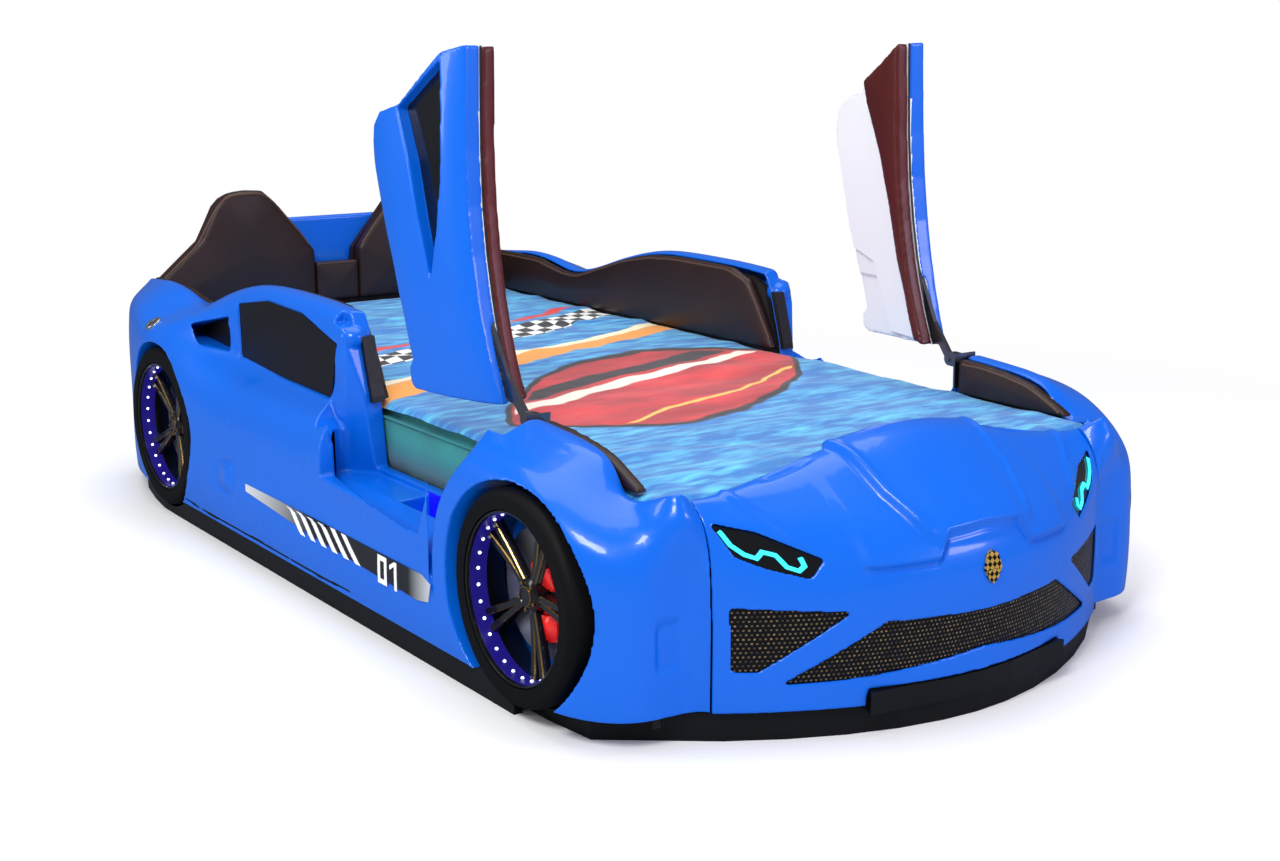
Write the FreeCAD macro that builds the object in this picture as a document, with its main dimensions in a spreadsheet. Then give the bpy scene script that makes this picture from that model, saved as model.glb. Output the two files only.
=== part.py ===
"""Car bed for children: a painted shell on a board frame, two doors that swing up on front hinges.

X runs across the bed, the nose points to -Y, Z is up and the floor is Z = 0.
The origin is on the floor, in the middle of the length and the width. Sizes are in millimetres.
"""
import FreeCAD, Part
import math
import os
import re

from FreeCAD import Placement, Rotation, Vector

doc = FreeCAD.newDocument("car_bed")

# ---------------------------------------------------------------- driving sizes

SIZES = [
    ("mattress_length", 1900, "mattress"),
    ("mattress_width", 894, ""),
    ("mattress_thick", 125, ""),
    ("bed_height", 208, "top of the slats above the floor"),
    ("cover_thick", 10, "bedspread on the mattress"),
    ("mattress_gap", 2, "mattress to side board"),
    ("nose_length", 210, "body beyond the foot of the mattress"),
    ("tail_length", 70, "body beyond the head of the mattress"),
    ("side_depth", 127, "body beyond the side boards"),
    ("wall", 5, "painted shell"),
    ("board_thick", 16, "frame boards"),
    ("foot_board_thick", 12, ""),
    ("board_clear", 20, "boards above the floor"),
    ("seat_gap", 0.3, "parts that lie against each other"),
    ("fender_top", 412, "heights of the body"),
    ("hump_top", 508, ""),
    ("dip_top", 423, ""),
    ("tail_top", 447, ""),
    ("hood_top", 396, "crown of the hood at its rear edge"),
    ("nose_top", 343, ""),
    ("sill_top", 235, ""),
    ("sill_drop", 10, "sill lip above the ledge"),
    ("foot_drop", 62, "sill lip above the notch for the door's foot"),
    ("shell_bottom", 45, ""),
    ("front_axle_inset", 174, "axle to the foot of the mattress"),
    ("rear_axle_inset", 353, "axle to the head of the mattress"),
    ("wheel_dia", 326, "wheels"),
    ("wheel_lift", 20, "tyre above the floor"),
    ("wheel_inset", 9, "wheel face inside the body side"),
    ("tyre_width", 72, ""),
    ("rim_dia", 262, ""),
    ("rim_wall", 4, ""),
    ("arch_gap", 11, "tyre to wheel arch"),
    ("disc_dia", 196, ""),
    ("disc_thick", 6, ""),
    ("hinge_ahead", 161, "door hinge behind the front axle"),
    ("hinge_height", 402, ""),
    ("hinge_inset", 35, "door's inner face inside the side board"),
    ("door_toe", 7.5, "degrees, door plane opens to the rear"),
    ("door_lean", 1.5, "degrees, door plane leans over the bed"),
    ("door_close", 56, "degrees from open to closed"),
    ("door_pad", 25, "layers of the door, from the bed outwards"),
    ("door_back", 5, ""),
    ("door_arm", 8, ""),
    ("door_skin", 20, "outer shell at its edges"),
    ("door_bulge", 22, "outer shell at its fullest"),
    ("door_gap", 8, "closed door to the body"),
    ("pin_dia", 10, ""),
    ("pin_clear", 0.08, ""),
    ("lug_thick", 4, ""),
    ("pad_thick", 18, "upholstery on the side boards"),
    ("head_pad", 26, "upholstery on the headboard"),
    ("wing_top", 545, "rear panel behind the headboard"),
    ("window_recess", 6, ""),
    ("window_thick", 4, ""),
    ("grille_thick", 4, ""),
    ("plinth_thick", 14, "black skirt under the shell"),
    ("slat_width", 70, ""),
    ("slat_thick", 18, ""),
    ("slat_count", 14, ""),
    ("ledger_width", 30, ""),
    ("ledger_height", 40, ""),
    ("beam_width", 60, ""),
    ("glide_dia", 40, ""),
]

sheet = doc.addObject("Spreadsheet::Sheet", "Sizes")
for row, (alias, value, note) in enumerate(SIZES, start=1):
    sheet.set("A%d" % row, alias)
    sheet.set("B%d" % row, str(value))
    sheet.set("C%d" % row, note)
    sheet.setAlias("B%d" % row, alias)

# Places worked out from the sizes, for the pieces and for the expressions below.
PLACES = [
    ("half_bed", "mattress_width / 2"),
    ("board_in", "mattress_width / 2 + mattress_gap"),
    ("board_out", "mattress_width / 2 + mattress_gap + board_thick"),
    ("half_width", "mattress_width / 2 + mattress_gap + board_thick + side_depth"),
    ("foot", "(nose_length - tail_length - mattress_length) / 2"),
    ("head", "(nose_length - tail_length + mattress_length) / 2"),
    ("front_axle", "(nose_length - tail_length - mattress_length) / 2 + front_axle_inset"),
    ("rear_axle", "(nose_length - tail_length + mattress_length) / 2 - rear_axle_inset"),
    ("axle_height", "wheel_dia / 2 + wheel_lift"),
    ("sleep_top", "bed_height + mattress_thick + cover_thick"),
]
places = doc.addObject("Spreadsheet::Sheet", "Places")
for row, (alias, formula) in enumerate(PLACES, start=1):
    names = "|".join(sorted((a for a, _, _ in SIZES), key=len, reverse=True))
    places.set("A%d" % row, alias)
    places.set("B%d" % row, "=" + re.sub(r"\b(%s)\b" % names, r"Sizes.\1", formula))
    places.setAlias("B%d" % row, alias)
doc.recompute()


class Values:
    """The two sheets' values by alias."""


v = Values()
for alias, _, _ in SIZES:
    setattr(v, alias, float(sheet.get(alias)))
for alias, _ in PLACES:
    setattr(v, alias, float(places.get(alias)))

RIGHT, LEFT = -1, 1
SIDES = [("right", RIGHT), ("left", LEFT)]

# ---------------------------------------------------------------- document helpers

NODES = []


def bind(obj, prop, formula):
    """Ties a property to the sheets, from a formula written with plain aliases."""
    sizes = "|".join(sorted((a for a, _, _ in SIZES), key=len, reverse=True))
    derived = "|".join(sorted((a for a, _ in PLACES), key=len, reverse=True))
    text = re.sub(r"\b(%s)\b" % sizes, r"Sizes.\1", str(formula))
    text = re.sub(r"\b(%s)\b" % derived, r"Places.\1", text)
    obj.setExpression(prop, text)


def node(obj, label):
    """Marks an object as a sub-part that is written to its own file."""
    obj.Label = label
    NODES.append(obj)
    return obj


def box(name, x, y, z, length, width, height):
    """A block from its low corner and its sizes along X, Y and Z, all formulas."""
    obj = doc.addObject("Part::Box", name)
    for prop, formula in [
        ("Length", length), ("Width", width), ("Height", height),
        ("Placement.Base.x", x), ("Placement.Base.y", y), ("Placement.Base.z", z),
    ]:
        bind(obj, prop, formula)
    return obj


def cylinder(name, axis, x, y, z, radius, height):
    """A cylinder along the X, Y or Z axis from its start point, all formulas."""
    obj = doc.addObject("Part::Cylinder", name)
    turn = {"X": Rotation(Vector(0, 1, 0), 90), "Y": Rotation(Vector(1, 0, 0), -90), "Z": Rotation()}
    obj.Placement = Placement(Vector(), turn[axis])
    for prop, formula in [
        ("Radius", radius), ("Height", height),
        ("Placement.Base.x", x), ("Placement.Base.y", y), ("Placement.Base.z", z),
    ]:
        bind(obj, prop, formula)
    return obj


def group(name, members):
    """Separate solids kept in one sub-part."""
    obj = doc.addObject("Part::Compound", name)
    obj.Links = members
    return obj


def feature(name, shape, place=None):
    """A sub-part whose shape is made from lofts and outlines."""
    obj = doc.addObject("Part::Feature", name)
    obj.Shape = shape
    if place:
        obj.Placement = place
    return obj


# ---------------------------------------------------------------- shape helpers

def mirrored(shape):
    return shape.mirror(Vector(), Vector(1, 0, 0))


def for_side(shape, side):
    """Shapes are drawn on the left, +X, and mirrored for the right."""
    return shape if side == LEFT else mirrored(shape)


def polygon_face(points):
    return Part.Face(Part.makePolygon(points + points[:1]))


def prism_x(outline, x_from, x_to):
    """A solid between two X planes from an outline of (y, z) points."""
    face = polygon_face([Vector(x_from, y, z) for y, z in outline])
    return face.extrude(Vector(x_to - x_from, 0, 0))


def prism_y(outline, y_from, y_to):
    """A solid between two Y planes from an outline of (x, z) points."""
    face = polygon_face([Vector(x, y_from, z) for x, z in outline])
    return face.extrude(Vector(0, y_to - y_from, 0))


def grown(outline, margin):
    """An outline of 2D points moved outwards by the margin, or inwards if it is negative."""
    face = polygon_face([Vector(a, b, 0) for a, b in outline])
    wire = face.makeOffset2D(margin, join=2).OuterWire
    return [(p.X, p.Y) for p in wire.OrderedVertexes]


def loft(sections):
    """A closed solid through sections, each an open curve that its ends and two corners close."""
    wires = []
    for curve_points, corners in sections:
        spline = Part.BSplineCurve()
        spline.interpolate(curve_points)
        ends = [curve_points[-1]] + corners + [curve_points[0]]
        edges = [spline.toShape()]
        edges += [Part.makeLine(a, b) for a, b in zip(ends, ends[1:])]
        wires.append(Part.Wire(edges))
    return Part.makeLoft(wires, True, False)


def mix(a, b, share):
    return a + (b - a) * share


def inset(points, depth):
    """2D points of an open curve, each moved to its right-hand side by the depth."""
    moved = []
    for i, (a, b) in enumerate(points):
        before = points[max(i - 1, 0)]
        after = points[min(i + 1, len(points) - 1)]
        run, rise = after[0] - before[0], after[1] - before[1]
        length = math.hypot(run, rise)
        moved.append((a + rise / length * depth, b - run / length * depth))
    return moved


def ring(outer, inner, x_from, width):
    """A tube round the X axis through the origin."""
    body = Part.makeCylinder(outer, width, Vector(x_from, 0, 0), Vector(1, 0, 0))
    bore = Part.makeCylinder(inner, width, Vector(x_from, 0, 0), Vector(1, 0, 0))
    return body.cut(bore)


# ---------------------------------------------------------------- body sections

# Each section runs from the inner edge at the mattress, over the top and down the outside.
# A share says how far across the section a point lies, from 0 inside to 1 outside.
# Drops are below the top of the section, and levels are heights above the floor.
FENDER = dict(
    share=[0, 0.13, 0.35, 0.56, 0.78, 0.92, 0.99, 1, 1, 0.95],
    drop=[3, 0, 10, 20, 32, 46, 76],
)
NOSE = dict(
    share=[0, 0.13, 0.35, 0.56, 0.72, 0.85, 0.93, 0.97, 1, 1],
    drop=[3, 0, 9, 22, 40, 65, 103],
)
HUMP = dict(
    share=[0, 0.15, 0.33, 0.38, 0.40, 0.43, 0.69, 0.94, 1, 0.95],
    drop=[4, 0, 9, 26],
    level=[415, 345, 318],
)
HOOD = dict(
    share=[0, 0.14, 0.42, 0.65, 0.82, 0.94, 0.99, 1, 0.97, 0.98],
    drop=[0, 4, 35, 70, 99, 131, 161],
)
LOW_LEVELS = [200, 120]

spine = v.board_in - 49.5
fan_front = v.front_axle - 72
fan_rear = v.head - 120
nose_reach = -(v.foot - v.nose_length) + fan_front


def profile(kind, reach_in, reach_out, top):
    """The (reach, height) points of one section."""
    width = reach_out - reach_in
    heights = [top - d for d in kind["drop"]] + kind.get("level", [])
    heights += LOW_LEVELS + [v.shell_bottom]
    return [(reach_in + s * width, z) for s, z in zip(kind["share"], heights)]


def blended(a, b, share):
    return [(mix(p[0], q[0], share), mix(p[1], q[1], share)) for p, q in zip(a, b)]


edge_foot = fan_front - v.foot + 2.5
edge_side = v.board_in - spine + 0.3
reach_side = v.half_width - spine
reach_tail = v.head + v.tail_length - fan_rear


def edge_reach(turn):
    """From the fan's centre to the inner edge, which goes round the mattress's corner."""
    angle = math.radians(abs(turn))
    end = edge_foot / max(math.sin(angle), 0.01) if turn > 0 else 2 * edge_side
    return min(edge_side / max(math.cos(angle), 0.01), end)


def side_rows():
    """The main stations of the left side from the front seam to the rear seam.

    Each is (plan turn, y of its centre, outer reach, top, nose share, hump share).
    """
    rows = []
    for angle, out, rise in [(90, 0.88, 0), (60, 0.885, 0.03), (35, 0.95, 0.12), (15, 0.992, 0.28)]:
        top = mix(v.nose_top, v.fender_top, rise)
        rows.append((angle, fan_front, out * reach_side, top, min(1, (angle + 20) / 100), 0))
    axle, hinge = v.front_axle, v.front_axle + v.hinge_ahead
    rows += [
        (0, fan_front, reach_side, mix(v.nose_top, v.fender_top, 0.56), 0.25, 0),
        (0, axle, reach_side, v.fender_top - 9, 0, 0),
        (0, axle + 90, reach_side, v.fender_top, 0, 0),
        (0, hinge, reach_side, v.fender_top + 2, 0, 0),
    ]
    front, rear = hinge + 130, v.rear_axle + 15
    for share, rise, hump in [
        (0, 0.08, 0), (0.15, 0.40, 0.3), (0.30, 0.82, 0.9), (0.39, 0.94, 1), (0.49, 0.99, 1),
        (0.60, 1, 1), (0.70, 0.94, 1), (0.80, 0.71, 0.8), (0.90, 0.34, 0.3), (1, 0.02, 0),
    ]:
        low = mix(v.fender_top, v.dip_top, share)
        rows.append((0, mix(front, rear, share), reach_side, mix(low, v.hump_top, rise), 0, hump))
    rows += [
        (0, v.rear_axle + 100, 0.95 * reach_side, mix(v.dip_top, v.tail_top, 0.5), 0.1, 0),
        (0, v.rear_axle + 170, 0.88 * reach_side, v.tail_top, 0.3, 0),
        (0, fan_rear, 0.80 * reach_side, v.tail_top, 0.4, 0),
    ]
    for angle, out, fall in [(25, 0.765, 2), (45, 0.83, 5), (60, 0.92, 7), (75, 0.985, 8)]:
        rows.append((-angle, fan_rear, out * reach_side, v.tail_top - fall, 0.3, 0))
    rows.append((-90, fan_rear, reach_tail, v.tail_top - 8, 0.1, 0))
    return rows


def evened(rows, step):
    """The rows drawn again at even steps along the body, with no overshoot between them."""
    along = [0]
    for a, b in zip(rows, rows[1:]):
        along.append(along[-1] + math.hypot(b[1] - a[1], 2.6 * (b[0] - a[0])))
    columns = list(zip(*rows))

    def slopes(values):
        flats = [(b - a) / (q - p) for a, b, p, q in zip(values, values[1:], along, along[1:])]
        inner = [0 if f * g <= 0 else 2 * f * g / (f + g) for f, g in zip(flats, flats[1:])]
        return [flats[0]] + inner + [flats[-1]]

    tangents = [slopes(c) for c in columns]
    count = round(along[-1] / step)
    drawn = []
    for i in range(count + 1):
        place = along[-1] * i / count
        k = max(j for j in range(len(along) - 1) if along[j] <= place + 1e-9)
        gap = along[k + 1] - along[k]
        t = (place - along[k]) / gap
        row = []
        for values, tangent in zip(columns, tangents):
            rise = values[k] * (1 + 2 * t) * (1 - t) ** 2 + values[k + 1] * t * t * (3 - 2 * t)
            lean = tangent[k] * t * (1 - t) ** 2 + tangent[k + 1] * t * t * (t - 1)
            row.append(rise + gap * lean)
        drawn.append(tuple(row))
    return drawn


def section_points(row, depth=0):
    """The points of one station in space, drawn on the left, with the curve set in by the depth."""
    turn, y, reach_out, top, nose, hump = row
    reach_in = edge_reach(turn)
    points = profile(FENDER, reach_in, reach_out, top)
    points = blended(points, profile(NOSE, reach_in, reach_out, top), nose)
    points = blended(points, profile(HUMP, reach_in, reach_out, top), hump)
    points = overlong(points, depth)
    angle = math.radians(turn)

    def place(reach, height):
        return Vector(spine + reach * math.cos(angle), y - reach * math.sin(angle), height)

    return [place(*p) for p in points], [place(points[0][0], points[-1][1])]


def overlong(points, depth):
    """A section carried on inwards past its edge and, when set in, down past its foot."""
    if depth:
        points = inset(points, depth)
        points[-1] = (points[-1][0], points[-1][1] - 30)
    return [(points[0][0] - 30, points[0][1] - 4)] + points


def cowl_section(across, depth=0):
    """The hood and bumper at one distance from the middle."""
    middle = 1 - (across / spine) ** 2
    reach_out = mix(0.88 * reach_side, nose_reach, 1 - (abs(across) / spine) ** 1.9)
    top = mix(v.nose_top, v.hood_top, middle ** 2)
    points = blended(profile(NOSE, edge_foot, reach_out, top),
                     profile(HOOD, edge_foot, reach_out, top), middle)
    points = overlong(points, depth)
    place = [Vector(across, fan_front - reach, z) for reach, z in points]
    return place, [Vector(across, fan_front - points[0][0], points[-1][1])]


# ---------------------------------------------------------------- door outlines

hinge_y = v.front_axle + v.hinge_ahead
hinge_z = v.hinge_height
hinge_x = v.board_in - v.hinge_inset

# Side view of the open door from its hinge: (rearward, up).
DOOR_FRONT_EDGE = [(44, 18), (57, 48), (70, 80), (85, 125), (98, 172), (112, 238), (123, 314), (129, 398),
                   (131, 474), (132, 556)]
DOOR_TOP_EDGE = [(184, 544), (290, 462), (342, 449), (362, 428)]
DOOR_REAR_EDGE = [(370, 400), (367, 362), (348, 300), (318, 212), (298, 149), (280, 96), (268, 58), (282, 40),
                  (280, 20), (262, 10)]
DOOR_BOTTOM_EDGE = [(160, 12), (60, 16)]
DOOR_OUTLINE = DOOR_FRONT_EDGE + DOOR_TOP_EDGE + DOOR_REAR_EDGE + DOOR_BOTTOM_EDGE
DOOR_INTAKE = [(184, 532), (290, 458), (258, 376), (233, 284), (204, 194), (187, 264), (177, 350), (178, 440)]
DOOR_PANEL = DOOR_FRONT_EDGE + [
    (190, 540), (272, 470), (344, 430), (358, 395), (355, 358), (338, 290), (316, 210), (298, 168), (236, 150),
    (176, 24), (60, 20),
]
DOOR_PAD = DOOR_FRONT_EDGE + [(178, 524), (240, 486), (232, 461), (189, 363), (156, 274), (127, 166), (100, 98),
                              (72, 26)]
DOOR_ARM = [(-12, 0), (-8.5, -8.5), (0, -12), (8.5, -8.5), (34, 20), (150, 30), (176, 60), (180, 160),
            (120, 200), (100, 150), (50, 60), (6, 12), (-8.5, 8.5)]


layer_back = v.door_pad + v.seat_gap
layer_skin = layer_back + v.door_back + v.seat_gap
layer_arm = layer_skin + v.seat_gap


def door_place(side, shut=0):
    """Where a door stands on its hinge; shut is the angle it has closed by."""
    turn = Rotation(Vector(0, 0, 1), -side * v.door_toe).multiply(
        Rotation(Vector(0, 1, 0), -side * v.door_lean)).multiply(Rotation(Vector(1, 0, 0), -shut))
    return Placement(Vector(side * hinge_x, hinge_y, hinge_z), turn)


def door_prism(outline, from_bed, thick):
    """A layer of the door in its own frame: X outwards from the bed, Y along the door, Z up."""
    return prism_x(outline, from_bed, from_bed + thick)


# ---------------------------------------------------------------- openings in the side shell

arch_reach = v.wheel_dia / 2 + v.arch_gap
fender_reach = arch_reach + 138
pillar_y = hinge_y + 460


# The front edge of the pillar behind the door: (behind its foot, height).
PILLAR_FRONT = [(0, 235), (20, 360), (55, 470), (85, 520)]


def fender_edge(extra=0):
    """The rear edge of the fender, an arc round the front wheel, from the sill upwards."""
    points = []
    for step in range(9):
        turn = math.radians(mix(0, 47, step / 8))
        reach = fender_reach + extra
        points.append((v.front_axle + reach * math.cos(turn), v.axle_height + reach * math.sin(turn)))
    return points


def opening_outline(margin=0):
    """The door opening in side view, above the sill."""
    top = v.hump_top + 80
    arc = [(y, z) for y, z in fender_edge(-margin) if z > v.sill_top - margin]
    arc = [(arc[0][0] + 4, v.sill_top - margin)] + arc
    pillar = [(pillar_y + dy + margin, z) for dy, z in reversed(PILLAR_FRONT)]
    pillar = [(pillar_y + 125 + margin, top)] + pillar[:-1] + [(pillar_y + margin, v.sill_top - margin)]
    return arc + [(arc[-1][0] - 4, top)] + pillar


# Plan points of the rear end of the room outside the sill lip: (outside the lip, behind the pillar's foot).
LEDGE_END = [(0, -8), (14, 20), (30, 44), (46, 56), (60, 50), (74, 28), (86, -12), (96, -62), (105, -126),
             (112, -200), (117, -290), (121, -400), (170, -430)]


def fender_cone(margin=0):
    """The fender's rear face, which draws in towards the wheel on the outside."""
    start, depth, lean = 450, 200, 0.745
    reach = fender_reach + 6 - 1.25 * margin
    return Part.makeCone(reach, reach - lean * depth, depth, Vector(start, v.front_axle, v.axle_height),
                         Vector(1, 0, 0))


def ledge_tool(margin=0):
    """The rounded step outside the sill lip, from the fender to the ramp below the pillar."""
    lip = v.board_out + 5.5 - margin
    top, low = v.sill_top - v.sill_drop - margin, v.shell_bottom + 55
    out = v.half_width - margin
    section = [(lip, 700), (lip, top), (out - 66, top - 3), (out - 36, top - 12), (out - 13, top - 34),
               (out - 3, top - 75), (out + 1, low), (out + 80, low), (out + 80, 700)]
    front, rear = v.front_axle + 112, pillar_y + margin
    end = [Vector(lip + dx, rear + dy, 0) for dx, dy in LEDGE_END]
    plan = [Vector(lip, front, 0)] + end + [Vector(lip + 170, front, 0)]
    room = polygon_face(plan).extrude(Vector(0, 0, 700))
    step = prism_y(section, front, rear + 100).common(room)
    notch = Part.makeBox(52 + 2 * margin, 190 + 2 * margin, 300,
                         Vector(lip, hinge_y + 90 - margin, v.sill_top - v.foot_drop - margin))
    return step.fuse(notch).cut(fender_cone(margin))


def door_pocket(margin=0):
    """The recess that takes the rear end of the shut door, open along the way it comes down."""
    reach = v.door_gap + margin
    deep = layer_skin + v.door_skin + v.door_bulge + 3 + margin

    def swept(radius, last, rest):
        return [(0, 0)] + [((radius + reach) * math.sin(math.radians(a)), (radius + reach) * math.cos(math.radians(a)))
                           for a in range(-40, last, 6)] + rest

    corner = [(along + reach, up) for along, up in DOOR_REAR_EDGE[:3]]
    shell_room = swept(math.hypot(*DOOR_TOP_EDGE[0]), 43, corner)
    pad_room = swept(math.hypot(178, 524), 29, [])
    pocket = prism_x(shell_room, v.door_pad - 3 - margin, deep).fuse(prism_x(pad_room, -3 - margin, deep))
    pocket.Placement = door_place(LEFT, v.door_close)
    behind = Part.makeBox(400, 400, 600, Vector(300, pillar_y - 40 - margin, 0))
    return pocket.common(behind)


def tuck_tool(margin=0):
    """The room behind the fender's rear edge for the front of the shut door, and its hinge."""
    return Part.makeBox(74 + margin, 227 + 2 * margin, 400,
                        Vector(v.half_width - 148, hinge_y - 42 - margin, 150 - margin))


def side_tools(margin=0):
    """What is cut from the side, or with a margin, what its hollow keeps clear of."""
    outside = v.half_width + 60
    tools = [
        prism_x(opening_outline(margin), v.board_in - 60, outside),
        ledge_tool(margin),
        door_pocket(margin),
    ]
    for axle in (v.front_axle, v.rear_axle):
        start = Vector(v.half_width - v.wheel_inset - v.tyre_width - 6 - margin, axle, v.axle_height)
        tools.append(Part.makeCylinder(arch_reach + margin, 200, start, Vector(1, 0, 0)))
    for outline in WINDOWS:
        floor = window_face - v.window_recess - margin
        tools.append(prism_x(grown(outline, 1 + margin), floor, window_face + 40))
    return tools


window_face = v.half_width - 85
hump_front, hump_rear = pillar_y + 78, v.rear_axle - 210


def window_outlines():
    """The main window and the small one behind it, in side view."""
    low, high = 345, v.hump_top - 24
    length = hump_rear - hump_front
    main = [
        (hump_front + 26, low), (hump_front, mix(low, high, 0.72)),
        (mix(hump_front, hump_rear, 0.30), high - 4), (mix(hump_front, hump_rear, 0.62), high),
        (hump_rear - 44, high - 22), (hump_rear - 48, low + 16), (mix(hump_front, hump_rear, 0.5), low + 4),
    ]
    tip = hump_rear + 0.42 * length
    small = [(hump_rear - 12, low + 22), (hump_rear - 8, high - 52), (mix(hump_rear, tip, 0.45), high - 74),
             (tip, low + 34)]
    return [main, small]


WINDOWS = window_outlines()


def fused(shapes):
    whole = shapes[0]
    for other in shapes[1:]:
        whole = whole.fuse(other)
    return whole


def largest(shape):
    return max(shape.Solids, key=lambda s: s.Volume)


def bed_block(low=-20):
    """The room inside the shell's inner edge, over the whole mattress and headboard."""
    front, rear = v.foot - 2.5, v.head + v.head_pad + v.board_thick + 2 + v.seat_gap
    wide = v.board_in + 0.5
    return Part.makeBox(2 * wide, rear - front, 900, Vector(-wide, front, low))


def side_shell():
    """The left side: fender, sill, hump and rear quarter in one painted shell."""
    rows = evened(side_rows(), 85)
    outer = loft([section_points(r) for r in rows])
    inner = loft([section_points(r, v.wall) for r in rows])
    outer = outer.cut(side_tools())
    inner = inner.cut(side_tools(v.wall))
    return largest(outer.cut([inner, tuck_tool(), bed_block()]))


# ---------------------------------------------------------------- front cowl

GRILLE_CENTRE = [(-314, 85), (-173, 168), (0, 163), (173, 168), (314, 85), (200, 88), (100, 96), (0, 105),
                 (-100, 96), (-200, 88)]
GRILLE_SIDE = [(376, 108), (378, 199), (224, 187), (344, 105)]
HEADLAMP = [(390, 316), (330, 300), (254, 262), (276, 238), (330, 254), (368, 272)]


def flipped(outline):
    return [(-a, b) for a, b in reversed(outline)]


FRONT_OUTLINES = [GRILLE_CENTRE, GRILLE_SIDE, flipped(GRILLE_SIDE)]
LAMP_OUTLINES = [HEADLAMP, flipped(HEADLAMP)]
COWL_STATIONS = [-1, -0.86, -0.7, -0.52, -0.34, -0.16, 0, 0.16, 0.34, 0.52, 0.7, 0.86, 1]


def cowl_solid(depth=0):
    """Everything under the hood's surface, set in by the depth."""
    return loft([cowl_section(s * (spine - v.seat_gap), depth) for s in COWL_STATIONS])


def front_cowl(outer, hollow):
    shell = outer.cut([hollow, bed_block()])
    lip = [(-206, 0), (206, 0), (196, v.shell_bottom + 25), (-196, v.shell_bottom + 25)]
    holes = [prism_y(o, v.foot - v.nose_length - 20, v.foot - 40)
             for o in FRONT_OUTLINES + LAMP_OUTLINES + [lip]]
    return largest(shell.cut(fused(holes)))


def behind_opening(outline, sheet_solid, margin):
    """A plate that follows the cowl's surface behind one of its openings."""
    plate = prism_y(grown(outline, margin), v.foot - v.nose_length - 20, v.foot - 40)
    return largest(plate.common(sheet_solid))


# ---------------------------------------------------------------- build: painted body

left_shell = side_shell()
for name, side in SIDES:
    node(feature("SideShell_" + name, for_side(left_shell, side)), "side_shell_" + name)

cowl_outer = cowl_solid()
cowl_hollow = cowl_solid(v.wall)
cowl_behind = cowl_solid(v.wall + v.seat_gap)
cowl_back = cowl_solid(v.wall + v.seat_gap + v.grille_thick)
grille_sheet = cowl_behind.cut(cowl_back)
node(feature("FrontCowl", front_cowl(cowl_outer, cowl_hollow)), "front_cowl")
node(feature("GrilleCentre", behind_opening(GRILLE_CENTRE, grille_sheet, 5)), "grille_centre")
sides = [behind_opening(o, grille_sheet, 5) for o in FRONT_OUTLINES[1:]]
node(feature("GrilleSides", Part.makeCompound(sides)), "grille_sides")
lamps = [behind_opening(o, grille_sheet, 3) for o in LAMP_OUTLINES]
node(feature("HeadlampHousings", Part.makeCompound(lamps)), "headlamp_housings")


def rear_panel():
    """The painted panel behind the headboard, with a raised wing in the middle."""
    low = v.shell_bottom
    out = spine - v.seat_gap
    outline = [(-out, low), (out, low), (out, v.tail_top - 40), (350, v.tail_top), (300, v.wing_top - 8),
               (280, v.wing_top), (-280, v.wing_top), (-300, v.wing_top - 8), (-350, v.tail_top),
               (-out, v.tail_top - 40)]
    start = v.head + v.head_pad + v.board_thick + 2 + v.seat_gap
    return prism_y(outline, start, v.head + v.tail_length)


node(feature("RearPanel", rear_panel()), "rear_panel")

# ---------------------------------------------------------------- build: plinth and splitter

def plan_path(inward):
    """Plan points of the shell's bottom edge on the left, from the front seam to the rear seam."""
    points = []
    for turn, y, reach_out, *_ in evened(side_rows(), 85):
        reach, angle = reach_out - inward, math.radians(turn)
        points.append((spine + reach * math.cos(angle), y - reach * math.sin(angle)))
    return points


def plan_solid(points, low, high):
    face = polygon_face([Vector(x, y, low) for x, y in points])
    return face.extrude(Vector(0, 0, high - low))


def plinth_ring(first, last):
    """A strip of the black skirt, between two Y limits."""
    outside = plan_path(22)
    inside = plan_path(22 + v.plinth_thick)
    strip = plan_solid(outside + inside[::-1], 0, v.shell_bottom + 8)
    keep = Part.makeBox(v.half_width, last - first, v.shell_bottom + 8, Vector(0, first, 0))
    return largest(strip.common(keep))


def clear_of_wheels(shape):
    """A low piece cut back round the tyres."""
    tools = []
    for side in (RIGHT, LEFT):
        for axle in (v.front_axle, v.rear_axle):
            start = Vector(side * (v.half_width - v.wheel_inset - v.tyre_width - 8), axle, v.axle_height)
            tools.append(Part.makeCylinder(v.wheel_dia / 2 + 5, 200, start, Vector(side, 0, 0)))
    return largest(shape.cut(tools))


def frame_block():
    """The room of the board frame, with the slip between it and what stands round it."""
    front, rear = v.foot - v.board_thick - 2 - v.seat_gap, head_rear + v.seat_gap
    wide = v.board_out + v.seat_gap
    return Part.makeBox(2 * wide, rear - front, 400, Vector(-wide, front, v.board_clear - v.seat_gap))


def wheel_wells():
    """The wheel wells with their walls, above the shell's bottom edge."""
    tools = []
    for axle in (v.front_axle, v.rear_axle):
        well = Part.makeCylinder(arch_reach + v.wall + v.seat_gap, 200,
                                 Vector(v.board_out, axle, v.axle_height), Vector(1, 0, 0))
        tools.append(well.cut(Part.makeBox(400, 600, v.shell_bottom - v.seat_gap, Vector(v.board_out, axle - 300, 0))))
    return tools


head_rear = v.head + 2 + v.head_pad + v.seat_gap + v.board_thick
skirt_first = v.front_axle + 12
skirt = clear_of_wheels(plinth_ring(skirt_first, v.head + v.tail_length - 14))
skirt = largest(skirt.cut([frame_block()] + wheel_wells()))
node(feature("SideSkirts", Part.makeCompound([skirt, mirrored(skirt)])), "side_skirts")


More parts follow.
